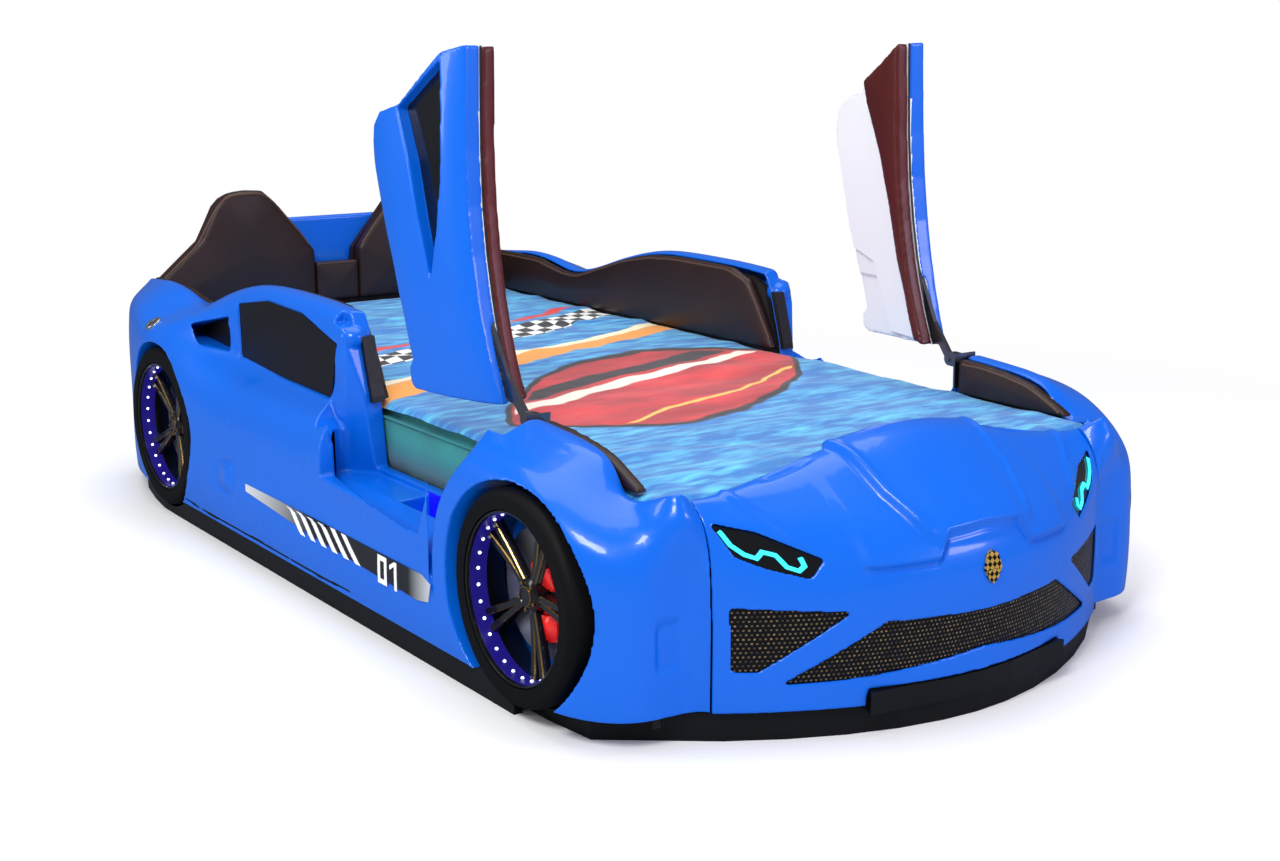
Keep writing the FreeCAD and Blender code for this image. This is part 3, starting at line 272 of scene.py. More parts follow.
def mesh_material():
    """Black grille with rows of small brass-coloured bars."""
    mat = material("grille", srgb(10, 10, 12), rough=0.4, metal=0.2)
    x, _, z = axes(mat)
    joined = add_node(mat, "ShaderNodeCombineXYZ")
    wire(mat, x, joined.inputs["X"])
    wire(mat, z, joined.inputs["Y"])
    bricks = add_node(mat, "ShaderNodeTexBrick")
    bricks.inputs["Scale"].default_value = 92
    bricks.inputs["Brick Width"].default_value = 0.62
    bricks.inputs["Row Height"].default_value = 0.6
    bricks.inputs["Mortar Size"].default_value = 0.2
    bricks.inputs["Mortar Smooth"].default_value = 0.2
    bricks.inputs["Color1"].default_value = srgb(150, 124, 84)
    bricks.inputs["Color2"].default_value = srgb(58, 50, 42)
    bricks.inputs["Mortar"].default_value = srgb(5, 5, 6)
    wire(mat, joined.outputs["Vector"], bricks.inputs["Vector"])
    wire(mat, bricks.outputs["Color"], shader_of(mat).inputs["Base Color"])
    bumped(mat, bricks.outputs["Fac"], 0.8, -0.003)
    return mat


def badge_material():
    """A small gold and black chequer."""
    mat = material("badge", srgb(190, 150, 60), rough=0.3, metal=0.6)
    checks = add_node(mat, "ShaderNodeTexChecker")
    checks.inputs["Scale"].default_value = 150
    checks.inputs["Color1"].default_value = srgb(226, 182, 84)
    checks.inputs["Color2"].default_value = srgb(18, 14, 12)
    turned = add_node(mat, "ShaderNodeMapping")
    turned.inputs["Rotation"].default_value = (0, math.radians(40), 0)
    wire(mat, coordinates(mat), turned.inputs["Vector"])
    wire(mat, turned.outputs["Vector"], checks.inputs["Vector"])
    wire(mat, checks.outputs["Color"], shader_of(mat).inputs["Base Color"])
    return mat


STRIPE_FRONT, STRIPE_REAR = -0.49, 0.22


def stripe_material():
    """Near black in the middle, brushed silver towards both ends."""
    mat = material("stripe", srgb(20, 20, 23), rough=0.35)
    _, y, _ = axes(mat)
    fade = add_node(mat, "ShaderNodeValToRGB")
    for place, colour in ((0.1, srgb(24, 24, 27)), (0.62, srgb(20, 20, 23))):
        fade.color_ramp.elements.new(place).color = colour
    fade.color_ramp.elements[0].color = srgb(190, 194, 200)
    fade.color_ramp.elements[-1].color = srgb(205, 209, 214)
    share = add_node(mat, "ShaderNodeMapRange")
    share.inputs["From Min"].default_value = STRIPE_FRONT
    share.inputs["From Max"].default_value = STRIPE_REAR
    wire(mat, y, share.inputs["Value"])
    wire(mat, share.outputs["Result"], fade.inputs["Fac"])
    wire(mat, fade.outputs["Color"], shader_of(mat).inputs["Base Color"])
    return mat


def cover_material():
    """A racing print: streaky blue ground with curved red, cream and chequered bands."""
    mat = material("bedspread_cloth", srgb(30, 140, 210), rough=0.7)
    shader_of(mat).inputs["Sheen Weight"].default_value = 0.25
    x, y, _ = axes(mat)
    streak = noise_of(mat, 7, 6, (2.2, 9, 1))
    streak = maths(mat, "MULTIPLY", maths(mat, "SUBTRACT", streak, 0.42), 3.2, True)
    ground = mixed(mat, streak, srgb(16, 112, 190), srgb(86, 196, 232))
    wobble = maths(mat, "MULTIPLY", maths(mat, "SUBTRACT", noise_of(mat, 3.5, 3), 0.5), 0.13)
    aside = maths(mat, "ABSOLUTE", maths(mat, "SUBTRACT", x, 0.05))
    bow = maths(mat, "MULTIPLY", maths(mat, "POWER", aside, 2), 1.5)
    centre = maths(mat, "ADD", maths(mat, "ADD", y, maths(mat, "MULTIPLY", x, -0.35)), 0.23)
    spread = maths(mat, "ADD", maths(mat, "ABSOLUTE", centre), maths(mat, "ADD", bow, wobble))
    # The red bands vary by a noise between a dark and a bright red: partly the print's own tone, partly
    # painted highlight.
    red_tone_and_highlight_noise = noise_of(mat, 5, 3, (1, 2.5, 1))
    glow = maths(mat, "MULTIPLY", maths(mat, "SUBTRACT", red_tone_and_highlight_noise, 0.4), 3.0, True)
    reds = mixed(mat, glow, srgb(168, 8, 20), srgb(236, 40, 44))
    s = maths(mat, "ADD", centre, wobble)
    colour = mixed(mat, between(mat, spread, -1, 0.265), ground, srgb(24, 14, 22))
    colour = mixed(mat, between(mat, spread, -1, 0.245), colour, reds)
    body = between(mat, spread, -1, 0.235)
    cream, black, amber = srgb(246, 234, 216), srgb(30, 16, 20), srgb(250, 196, 80)
    for first, last, ink in ((0.035, 0.075, cream), (0.095, 0.150, black), (-0.150, -0.140, amber)):
        colour = mixed(mat, maths(mat, "MULTIPLY", body, between(mat, s, first, last)), colour, ink)
    colour = mixed(mat, between(mat, s, 0.33, 0.40), colour, srgb(244, 156, 48))
    colour = mixed(mat, between(mat, s, 0.40, 0.43), colour, srgb(250, 238, 196))
    checks = add_node(mat, "ShaderNodeTexChecker")
    checks.inputs["Scale"].default_value = 30
    checks.inputs["Color1"].default_value = srgb(238, 238, 236)
    checks.inputs["Color2"].default_value = srgb(22, 20, 22)
    joined = add_node(mat, "ShaderNodeCombineXYZ")
    wire(mat, x, joined.inputs["X"])
    wire(mat, s, joined.inputs["Y"])
    joined.inputs["Z"].default_value = 0.013
    wire(mat, joined.outputs["Vector"], checks.inputs["Vector"])
    colour = mixed(mat, between(mat, s, 0.56, 0.66), colour, checks.outputs["Color"])
    colour = mixed(mat, between(mat, s, 0.69, 0.72), colour, srgb(214, 30, 36))
    wire(mat, colour, shader_of(mat).inputs["Base Color"])
    threads = add_node(mat, "ShaderNodeTexWave", bands_direction="X")
    threads.inputs["Scale"].default_value = 240
    wire(mat, coordinates(mat), threads.inputs["Vector"])
    bumped(mat, threads.outputs["Fac"], 0.15, 0.0004)
    return mat


grille, badge_gold, stripe, cover = mesh_material(), badge_material(), stripe_material(), cover_material()

# ------------------------------------------------------------------ helpers


def painted(name, mat):
    """A CAD node with its own shape gets a finished material and smooth shading."""
    mesh = nodes[name].data
    mesh.materials.clear()
    mesh.materials.append(mat)
    mesh.polygons.foreach_set("material_index", [0] * len(mesh.polygons))
    mesh.shade_smooth()
    mesh.set_sharp_from_angle(angle=math.radians(32))
    return nodes[name]


def make(name, vertices, faces, mats, body=BED, smooth=True):
    """A new piece from its points, riding on a body."""
    mesh = bpy.data.meshes.new(name)
    mesh.from_pydata([tuple(p) for p in vertices], [], faces)
    mesh.update()
    for mat in mats if isinstance(mats, list) else [mats]:
        mesh.materials.append(mat)
    if smooth:
        mesh.shade_smooth()
    obj = bpy.data.objects.new(name, mesh)
    scene.collection.objects.link(obj)
    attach(obj, body)
    return obj


def applied(obj):
    """The object's modifiers made part of its mesh."""
    graph = bpy.context.evaluated_depsgraph_get()
    mesh = bpy.data.meshes.new_from_object(obj.evaluated_get(graph))
    obj.modifiers.clear()
    obj.data = mesh
    return obj


def points_of(mesh):
    """The mesh's points as rows of an array."""
    flat = np.empty(len(mesh.vertices) * 3)
    mesh.vertices.foreach_get("co", flat)
    return flat.reshape(-1, 3)


def normals_of(mesh):
    """The normals at the mesh's points."""
    flat = np.empty(len(mesh.vertices) * 3)
    mesh.vertex_normals.foreach_get("vector", flat)
    return flat.reshape(-1, 3)


def moved_to(mesh, points):
    """Puts the mesh's points at new places."""
    mesh.vertices.foreach_set("co", points.reshape(-1))
    mesh.update()


def softened(name, label, mat, body, voxel=0.0045, rounds=6, form=None, before=None):
    """A moulded copy of a CAD node, with every edge rounded a little, in that node's place."""
    obj = bpy.data.objects.new(label, nodes[name].data.copy())
    scene.collection.objects.link(obj)
    if before:
        before(obj.data)
    obj.data.materials.clear()
    remesh = obj.modifiers.new("remesh", "REMESH")
    remesh.mode, remesh.voxel_size, remesh.adaptivity = "VOXEL", voxel, 0
    soft = obj.modifiers.new("soft", "SMOOTH")
    soft.factor, soft.iterations = 0.5, rounds
    applied(obj)
    mesh = obj.data
    if form:
        moved_to(mesh, form(points_of(mesh), normals_of(mesh)))
    for one in mat if isinstance(mat, list) else [mat]:
        mesh.materials.append(one)
    mesh.shade_smooth()
    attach(obj, body)
    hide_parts(name)
    return obj


def ramp(value, start, end):
    """0 before start, 1 after end, and smooth between."""
    share = np.clip((value - start) / (end - start), 0, 1)
    return share * share * (3 - 2 * share)


def tube(name, points, radius, mat, body, closed=False, resolution=4):
    """A round bead along points."""
    curve = bpy.data.curves.new(name, "CURVE")
    curve.dimensions, curve.bevel_depth, curve.bevel_resolution = "3D", radius, resolution
    curve.use_fill_caps = True
    spline = curve.splines.new("POLY")
    spline.points.add(len(points) - 1)
    for point, place in zip(spline.points, points):
        point.co = (*place, 1)
    spline.use_cyclic_u = closed
    obj = bpy.data.objects.new(name, curve)
    scene.collection.objects.link(obj)
    mesh = bpy.data.meshes.new_from_object(obj.evaluated_get(bpy.context.evaluated_depsgraph_get()))
    bpy.data.objects.remove(obj)
    made = bpy.data.objects.new(name, mesh)
    scene.collection.objects.link(made)
    mesh.materials.append(mat)
    mesh.shade_smooth()
    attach(made, body)
    return made


# ------------------------------------------------------------------ painted body


def along(line, value):
    """A broken line's height at a value."""
    places, results = zip(*line)
    return np.interp(value, places, results)


def hood_form(points, normals):
    """The hood's power dome, creases, slots and the step round the badge."""
    x, y, z = points.T
    a = np.abs(x)
    outer = (normals[:, 2] > 0.12) | (normals[:, 1] < -0.25)
    lift = np.zeros(len(x))
    edge = along([(-1.09, 0.080), (-1.04, 0.108), (-0.99, 0.128), (-0.88, 0.142)], y)
    lift += 0.0085 * (1 - ramp(a, edge - 0.004, edge + 0.012)) * ramp(z, 0.262, 0.285)
    lift += 0.0030 * np.exp(-((a - edge + 0.004) / 0.008) ** 2) * ramp(z, 0.275, 0.300)
    crease = along([(-1.0, 0.270), (-0.905, 0.338)], y)
    lift += 0.0030 * np.exp(-((a - crease) / 0.007) ** 2) * ramp(y, -1.005, -0.985) * ramp(z, 0.27, 0.29)
    slot = np.exp(-((a - 0.232) / 0.040) ** 4 - ((y + 0.897) / 0.0075) ** 2)
    lift -= 0.0065 * slot
    line = along([(0, 0.283), (0.070, 0.279), (0.092, 0.249), (0.185, 0.246), (0.24, 0.25)], a)
    side = ramp(a, 0.215, 0.19)
    over = z - line
    lift += 0.0080 * ramp(over, -0.001, 0.004) * np.exp(-np.clip(over, 0, 1) / 0.05) * side
    lift -= 0.0028 * np.exp(-((over + 0.004) / 0.004) ** 2) * side
    lift = np.where(outer & (z > 0.2) & (a < 0.392), lift, 0)
    fade = ramp(a, 0.396, 0.375)
    return points + normals * (lift * fade)[:, None]


def side_form(points, normals):
    """The shallow recess beside the nose and the scoop ahead of the rear wheel."""
    x, y, z = points.T
    a = np.abs(x)
    nose = np.exp(-((a - 0.456) / 0.021) ** 6 - ((z - 0.150) / 0.036) ** 6)
    nose = nose * ((y < -0.88) & (normals[:, 1] < -0.3))
    across = (y - 0.335) / 0.050
    scoop = np.exp(-across ** 4 - ((z - 0.153) / 0.028) ** 4) * (a > 0.57) * ramp(across, 1.1, -0.9)
    lift = -0.0055 * nose - 0.011 * scoop * (np.abs(normals[:, 0]) > 0.4)
    return points + normals * lift[:, None]


SILL_FRONT, SILL_REAR, SILL_EDGE, LEDGE_TOP = -0.475, -0.28, 0.5815, 0.222
PILLAR_FILLS = (
    ((0.480, -0.020, 0.456), (0.026, 0.026, 0.022)),
    ((0.484, 0.002, 0.462), (0.022, 0.03, 0.018)),
)


def side_filled(mesh):
    """Closes the pillar's top, and brings the sill's front end down to its ledge."""
    filled = bmesh.new()
    filled.from_mesh(mesh)
    side = 1 if mesh.vertices[0].co.x > 0 else -1
    for vert in filled.verts:
        x, y, z = vert.co
        if SILL_FRONT < y < SILL_REAR and abs(x) > SILL_EDGE and z > LEDGE_TOP:
            vert.co.z = LEDGE_TOP
    for place, size in PILLAR_FILLS:
        ball = bmesh.ops.create_icosphere(filled, subdivisions=3, radius=1)["verts"]
        for vert in ball:
            vert.co = Vector((side * place[0] + vert.co.x * size[0], place[1] + vert.co.y * size[1],
                              place[2] + vert.co.z * size[2]))
    filled.to_mesh(mesh)
    filled.free()


for side in SIDES:
    softened("side_shell_" + side, "body_side_" + side, paint, BED, 0.0022, 9, side_form,
             side_filled)
softened("front_cowl", "hood_and_nose", paint, BED, 0.0025, 6, hood_form)
softened("rear_panel", "tail_panel", paint, BED, 0.0035, 6, None)
WHITE_TOP = 0.86
for side, body in (("right", NEAR), ("left", FAR)):
    door = softened("door_shell_" + side, "door_outer_" + side, [paint, white_panel], body, 0.0026, 5,
                    None)
    inward = 1 if side == "right" else -1
    for face in door.data.polygons:
        inner = face.normal.x * inward > 0.6 and face.center.z < WHITE_TOP
        face.material_index = 1 if inner else 0

FINISHES = {
    plastic: ["front_splitter", "side_skirts", "pillar_trims", "floor_glides"],
    disc_metal: ["brake_discs"],
    strip_navy: ["wheel_light_strips"],
    glass: ["windows_right", "windows_left"],
    stripe: ["side_stripes"],
    gloss: ["headlamp_housings", "door_intake_right", "door_intake_left"],
    cyan: ["headlamp_light_guides"],
    badge_gold: ["nose_badge"],
    grille: ["grille_centre", "grille_sides"],
    sill_blue: ["sill_lights"],
    board: ["slats", "slat_ledgers", "centre_beam", "centre_legs"],
    # The foot and side boards take the near-black board colour as painted shade.
    shade_board: ["foot_board", "side_board_right", "side_board_left"],
    leather: ["headboard_core"],
    steel: [kind + side for kind in ("hinge_bracket_", "hinge_pin_", "door_arm_") for side in SIDES],
    rubber: [kind + side for kind in ("tyre_front_", "tyre_rear_") for side in SIDES],
}
for mat, names in FINISHES.items():
    for name in names:
        painted(name, mat)


def edged(name, mat, edge):
    """A panel whose flat faces and whose edges have different finishes."""
    mesh = painted(name, mat).data
    mesh.materials.append(edge)
    for face in mesh.polygons:
        face.material_index = 0 if abs(face.normal.x) > 0.9 else 1


for side in SIDES:
    edged("door_panel_" + side, white_panel, plastic)


CAP_Y, CAP_Z, CAP_STEPS = 0.712, 0.389, 48
CAP_RINGS = [(0.0, 0.0016), (0.0055, 0.0016), (0.0115, 0.0016), (0.0125, 0.0030), (0.0165, 0.0030),
             (0.0180, 0.0008), (0.0180, -0.006)]


def fuel_cap():
    """A silver ring round a dark quartered plate, on each rear quarter."""
    vertices, faces, kinds = [], [], []
    for side_name, side in (("right", -1), ("left", 1)):
        shell = bpy.data.objects["body_side_" + side_name]
        surface = BVHTree.FromObject(shell, bpy.context.evaluated_depsgraph_get())
        place, normal = surface.ray_cast(Vector((side * 0.8, CAP_Y, CAP_Z)), Vector((-side, 0, 0)))[:2]
        turn = normal.to_track_quat("Z", "Y").to_matrix()
        start = len(vertices)
        for radius, height in CAP_RINGS:
            for i in range(CAP_STEPS):
                angle = 2 * math.pi * i / CAP_STEPS
                rim = Vector((radius * math.cos(angle), radius * math.sin(angle), height))
                vertices.append(place + turn @ rim)
        for j in range(len(CAP_RINGS) - 1):
            for i in range(CAP_STEPS):
                a, b = start + j * CAP_STEPS + i, start + j * CAP_STEPS + (i + 1) % CAP_STEPS
                faces.append((a, b, b + CAP_STEPS, a + CAP_STEPS))
                odd_quarter = (i // (CAP_STEPS // 4)) % 2 == 1
                plate = j < 2
                kinds.append(1 if plate and (j == 1) != odd_quarter else 0)
    cap = make("fuel_cap_plates", vertices, faces, [silver, gloss])
    cap.data.polygons.foreach_set("material_index", kinds)
    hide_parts("fuel_caps")


fuel_cap()

# ------------------------------------------------------------------ wheels

FACE, RIM = 0.583, 0.131
AXLES = {"front": -0.706, "rear": 0.667}
HUB_Z = 0.183
SPOKES, FIRST_SPOKE = 5, 22
LAMPS, LAMP_RING, LAMP_DEPTH, LAMP_SIZE = 30, 0.1236, 0.021, 0.0027


def lathe(profile, steps=96):
    """Rings of (x from the wheel face, radius) points as vertices and quads."""
    vertices, faces = [], []
    count = len(profile)
    for i in range(steps):
        turn = 2 * math.pi * i / steps
        for depth, radius in profile:
            vertices.append((depth, radius * math.cos(turn), radius * math.sin(turn)))
        for j in range(count - 1):
            a, b = i * count + j, ((i + 1) % steps) * count + j
            faces.append((a, a + 1, b + 1, b))
    return vertices, faces


def spoke(turn, fork):
    """Half of a forked spoke: a tapered bar with a raised black face and gold bevels."""
    rows = []
    for share in (0, 0.2, 0.4, 0.6, 0.8, 1):
        radius = 0.020 + share * 0.1065
        offset = fork * (0.003 + 0.0105 * share ** 1.4)
        half = 0.0040 + 0.0010 * share
        depth = -0.034 + 0.008 * share ** 2
        section = [(depth - 0.014, -half - 0.003), (depth - 0.002, -half - 0.001), (depth, -half + 0.0006),
                   (depth, half - 0.0006), (depth - 0.002, half + 0.001), (depth - 0.014, half + 0.003)]
        rows.append([(level, offset + side, radius) for level, side in section])
    vertices, faces, kinds = [], [], []
    cos, sin = math.cos(turn), math.sin(turn)
    for row in rows:
        vertices += [(d, s * cos - r * sin, s * sin + r * cos) for d, s, r in row]
    for i in range(len(rows) - 1):
        for j in range(6):
            a, b = i * 6 + j, i * 6 + (j + 1) % 6
            faces.append((a, b, b + 6, a + 6))
            kinds.append(1 if j in (1, 3) else 0)
    faces += [tuple(range(6))[::-1], tuple(range(len(vertices) - 6, len(vertices)))]
    return vertices, faces, kinds + [0, 0]


def wheel_rim(end, side_name):
    """A rim with its barrel, hub, cap, bolts and five forked spokes."""
    side = -1 if side_name == "right" else 1
    centre = Vector((side * FACE, AXLES[end], HUB_Z))
    vertices, faces, kinds = [], [], []

    def add(some, quads, colours):
        start = len(vertices)
        vertices.extend(some)
        faces.extend(tuple(start + i for i in f) for f in quads)
        kinds.extend(colours)

    barrel = [(-0.068, RIM - 0.0006), (-0.006, RIM - 0.0006), (-0.002, RIM - 0.002), (-0.003, RIM - 0.0045),
              (-0.007, RIM - 0.0052), (-0.068, RIM - 0.0062), (-0.072, RIM - 0.004), (-0.068, RIM - 0.0006)]
    some, quads = lathe(barrel)
    add(some, quads, [0] * len(quads))
    hub = [(-0.052, 0.0), (-0.052, 0.028), (-0.034, 0.026), (-0.031, 0.022), (-0.029, 0.014), (-0.0285, 0.0)]
    some, quads = lathe(hub, 48)
    add(some, quads, [0] * len(quads))
    cap = [(-0.029, 0.0155), (-0.0265, 0.0150), (-0.0262, 0.0138), (-0.0275, 0.013), (-0.0275, 0.0)]
    some, quads = lathe(cap, 48)
    add(some, quads, [1 if k % 4 < 2 else 0 for k in range(len(quads))])
    for i in range(SPOKES):
        turn = math.radians(360 / SPOKES * i + FIRST_SPOKE)
        for fork in (-1, 1):
            add(*spoke(turn, fork))
        bolt, quads = lathe([(-0.030, 0.0), (-0.030, 0.0032), (-0.0275, 0.0030), (-0.0270, 0.0)], 12)
        place = (0.0205 * math.cos(turn + 0.63), 0.0205 * math.sin(turn + 0.63))
        add([(d, y + place[0], z + place[1]) for d, y, z in bolt], quads, [1] * len(quads))
    placed = [(centre.x + side * d, centre.y + y, centre.z + z) for d, y, z in vertices]
    name = "%s_%s" % (end, side_name)
    obj = make("wheel_rim_" + name, placed, faces, [rim_black, gold])
    obj.data.polygons.foreach_set("material_index", kinds)
    tidy = bmesh.new()
    tidy.from_mesh(obj.data)
    bmesh.ops.remove_doubles(tidy, verts=tidy.verts, dist=1e-5)
    bmesh.ops.recalc_face_normals(tidy, faces=tidy.faces)
    tidy.to_mesh(obj.data)
    tidy.free()
    obj.data.set_sharp_from_angle(angle=math.radians(30))
    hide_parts("rim_" + name)
    return centre, side, name


CALIPERS = (
    [(0.017, 0.042), (-0.003, 0.064), (-0.027, 0.064), (-0.055, 0.017), (-0.031, 0.012), (0.009, 0.024)],
    [(0.013, -0.028), (-0.061, -0.014), (-0.061, -0.057), (-0.019, -0.069), (0.010, -0.061)],
)


def calipers(hubs):
    """Two rounded calipers behind the spokes of each wheel."""
    shape = bmesh.new()
    for centre, side in hubs:
        for outline in CALIPERS:
            rows = []
            for depth in (-0.058, -0.044):
                row = [(centre.x + side * depth, centre.y + y, centre.z + z) for y, z in outline]
                rows.append([shape.verts.new(point) for point in row])
            shape.faces.new(rows[0])
            shape.faces.new(rows[1][::-1])
            for i in range(len(outline)):
                j = (i + 1) % len(outline)
                shape.faces.new((rows[0][i], rows[1][i], rows[1][j], rows[0][j]))
    bmesh.ops.bevel(shape, geom=shape.edges[:], offset=0.0042, segments=4, affect="EDGES")
    bmesh.ops.recalc_face_normals(shape, faces=shape.faces)
    shape.verts.index_update()
    vertices = [v.co.copy() for v in shape.verts]
    faces = [[v.index for v in f.verts] for f in shape.faces]
    shape.free()
    obj = make("caliper_blocks", vertices, faces, red)
    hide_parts("brake_calipers")


def dots(centre, side, name):
    """The strip's small lamps."""
    unit = bmesh.new()
    bmesh.ops.create_icosphere(unit, subdivisions=2, radius=1)
    ball = [v.co.copy() for v in unit.verts]
    quads = [[v.index for v in f.verts] for f in unit.faces]
    unit.free()
    vertices, faces = [], []
    for i in range(LAMPS):
        turn = 2 * math.pi * (i + 0.5) / LAMPS
        place = Vector((side * -LAMP_DEPTH, LAMP_RING * math.cos(turn), LAMP_RING * math.sin(turn)))
        start = len(vertices)
        vertices += [centre + place + p * LAMP_SIZE for p in ball]
        faces += [[start + k for k in f] for f in quads]
    make("wheel_lamps_" + name, vertices, faces, led_white)


hubs = []
for end in ("front", "rear"):
    for side_name in SIDES:
        made = wheel_rim(end, side_name)
        dots(*made)
        hubs.append(made[:2])
calipers(hubs)

# ------------------------------------------------------------------ stripe marks

BARS = [(0.012 - 0.042 * i, -0.044 - 0.042 * i) for i in range(6)]
BAR_WIDTH, BAR_LOW, BAR_HIGH = 0.019, 0.120, 0.159
DIGIT = (0.110, 0.157, 0.0085)


def digit_zero(left, right, low, high, bar):
    """Four bars round a box."""
    outer = [(left, low), (right, low), (right, high), (left, high)]
    step = bar if right > left else -bar
    return [[outer[0], (left + step, low), (left + step, high), outer[3]],
            [(right - step, low), outer[1], outer[2], (right - step, high)],
            [(left + step, low), (right - step, low), (right - step, low + bar), (left + step, low + bar)],
            [(left + step, high - bar), (right - step, high - bar), (right - step, high),
             (left + step, high)]]


def digit_one(left, right, low, high, bar):
    """An upright bar with a short flag."""
    step = bar if right > left else -bar
    return [[(right - step, low), (right, low), (right, high), (right - step, high)],
            [(left, high - 1.9 * bar), (right - step, high - 0.9 * bar), (right - step, high),
             (left, high - bar)]]


def film(name, patches, side, tree, mat):
    """Flat marks laid on a surface found along X, each a grid of small quads."""
    vertices, faces = [], []
    steps = 6
    for a, b, c, d in patches:
        start = len(vertices)
        for i in range(steps + 1):
            for j in range(steps + 1):
                s, t = i / steps, j / steps
                y = (a[0] * (1 - s) + b[0] * s) * (1 - t) + (d[0] * (1 - s) + c[0] * s) * t
                z = (a[1] * (1 - s) + b[1] * s) * (1 - t) + (d[1] * (1 - s) + c[1] * s) * t
                hit = tree.ray_cast(Vector((side * 0.8, y, z)), Vector((-side, 0, 0)))[0]
                vertices.append((hit.x + side * 0.0005 if hit else side * 0.594, y, z))
        for i in range(steps):
            for j in range(steps):
                k = start + i * (steps + 1) + j
                faces.append((k, k + 1, k + steps + 2, k + steps + 1))
    obj = make(name, vertices, faces, mat, smooth=False)
    thick = obj.modifiers.new("thick", "SOLIDIFY")
    thick.thickness, thick.offset = 0.0004, 0


stripe_tree = BVHTree.FromObject(nodes["side_stripes"], bpy.context.evaluated_depsgraph_get())
for side_name, side in (("right", -1), ("left", 1)):
    marks = [[(low, BAR_LOW), (low + BAR_WIDTH, BAR_LOW), (high + BAR_WIDTH, BAR_HIGH), (high, BAR_HIGH)]
             for high, low in BARS]
    film("stripe_bars_" + side_name, marks, side, stripe_tree, white_ink)
    if side < 0:
        number = digit_zero(-0.316, -0.347, *DIGIT) + digit_one(-0.357, -0.381, *DIGIT)
    else:
        number = digit_zero(-0.381, -0.350, *DIGIT) + digit_one(-0.340, -0.316, *DIGIT)
    film("stripe_number_" + side_name, number, side, stripe_tree, white_ink)

# ------------------------------------------------------------------ upholstery


def cushion_form(axis, sign, bulge, reach):
    """Swells the side of a pad that faces the bed, less towards its rim."""
    def form(points, normals):
        facing = normals[:, axis] * sign
        rim = np.flatnonzero(np.abs(facing) < 0.55)
        tree = kdtree.KDTree(len(rim))
        for i in rim:
            tree.insert(points[i], int(i))
        tree.balance()
        result = points.copy()
        for i in np.flatnonzero(facing > 0.55):
            gap = tree.find(points[i])[2]
            result[i, axis] += sign * bulge * (1 - math.exp(-gap / reach))
        return result
    return form


def crest(obj, axis_along, axis_in, sign, step=0.012, sink=0.002):
    """Points along the top rim of a pad, on its side towards the bed."""
    points = points_of(obj.data)
    lows = np.arange(points[:, axis_along].min() + 0.006, points[:, axis_along].max() - 0.004, step)
    line = []
    for low in lows:
        near = points[np.abs(points[:, axis_along] - low) < step * 0.6]
        if len(near):
            top = near[near[:, 2] > near[:, 2].max() - 0.006]
            best = top[np.argmax(top[:, axis_in] * sign)]
            line.append(best)
    line = np.array(line)
    for _ in range(2):
        line[1:-1] = (line[:-2] + 2 * line[1:-1] + line[2:]) / 4
    line[:, 2] -= sink
    return line


for side_name, side in (("right", -1), ("left", 1)):
    for kind, voxel in (("fender_pad_", 0.004), ("side_pad_", 0.0045)):
        pad = softened(kind + side_name, kind + "soft_" + side_name, leather, BED, voxel, 5,
                       cushion_form(0, -side, 0.007, 0.03))
        tube(kind + "piping_" + side_name, crest(pad, 1, 0, -side), 0.0026, piping, BED)
    body = NEAR if side < 0 else FAR
    pad = softened("door_trim_" + side_name, "door_pad_" + side_name, door_leather, body, 0.004, 5,
                   cushion_form(0, -side, 0.005, 0.03))
    pad = softened("headboard_pad_" + side_name, "head_pad_" + side_name, leather, BED, 0.005, 5,
                   cushion_form(1, -1, 0.016, 0.05))
    tube("head_piping_" + side_name, crest(pad, 0, 1, -1), 0.003, piping, BED)
pad = softened("headboard_pad_centre", "head_pad_centre", leather, BED, 0.004, 5,
               cushion_form(1, -1, 0.008, 0.03))

# ------------------------------------------------------------------ mattress and cover


def rounded_block(name, low, high, radius, mat):
    """A block with rounded edges and points enough on its faces to be pressed in."""
    mesh = bmesh.new()
    bmesh.ops.create_cube(mesh, size=1)
    size, centre = (high - low), (high + low) / 2
    for vert in mesh.verts:
        vert.co = Vector(centre[i] + vert.co[i] * size[i] for i in range(3))
    bmesh.ops.bevel(mesh, geom=mesh.edges[:], offset=radius, segments=5, affect="EDGES")
    bmesh.ops.subdivide_edges(mesh, edges=[e for e in mesh.edges if e.calc_length() > 0.3], cuts=40,
                              use_grid_fill=True)
    vertices = [v.co.copy() for v in mesh.verts]
    mesh.verts.index_update()
    faces = [[v.index for v in f.verts] for f in mesh.faces]
    mesh.free()
    return make(name, vertices, faces, mat)


low, high = (Vector(c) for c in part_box("mattress"))
mattress = rounded_block("mattress_body", low, high, 0.016, teal)
points = points_of(mattress.data)
sag = np.array([noise.noise(Vector((p[0] * 2, p[1] * 7, p[2] * 9))) for p in points])
inner = np.abs(points[:, 0]) > 0.44
points[inner, 0] -= np.sign(points[inner, 0]) * np.clip(0.0015 + 0.0015 * sag[inner], 0, 0.004)
moved_to(mattress.data, points)
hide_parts("mattress")
for level, label in ((0.222, "low"), (0.3195, "high")):
    edge = [(-0.4465, -0.872), (-0.4465, 1.012), (0.4465, 1.012), (0.4465, -0.872)]
    tube("mattress_piping_" + label, [(x, y, level) for x, y in edge], 0.0026, teal, BED, closed=True)


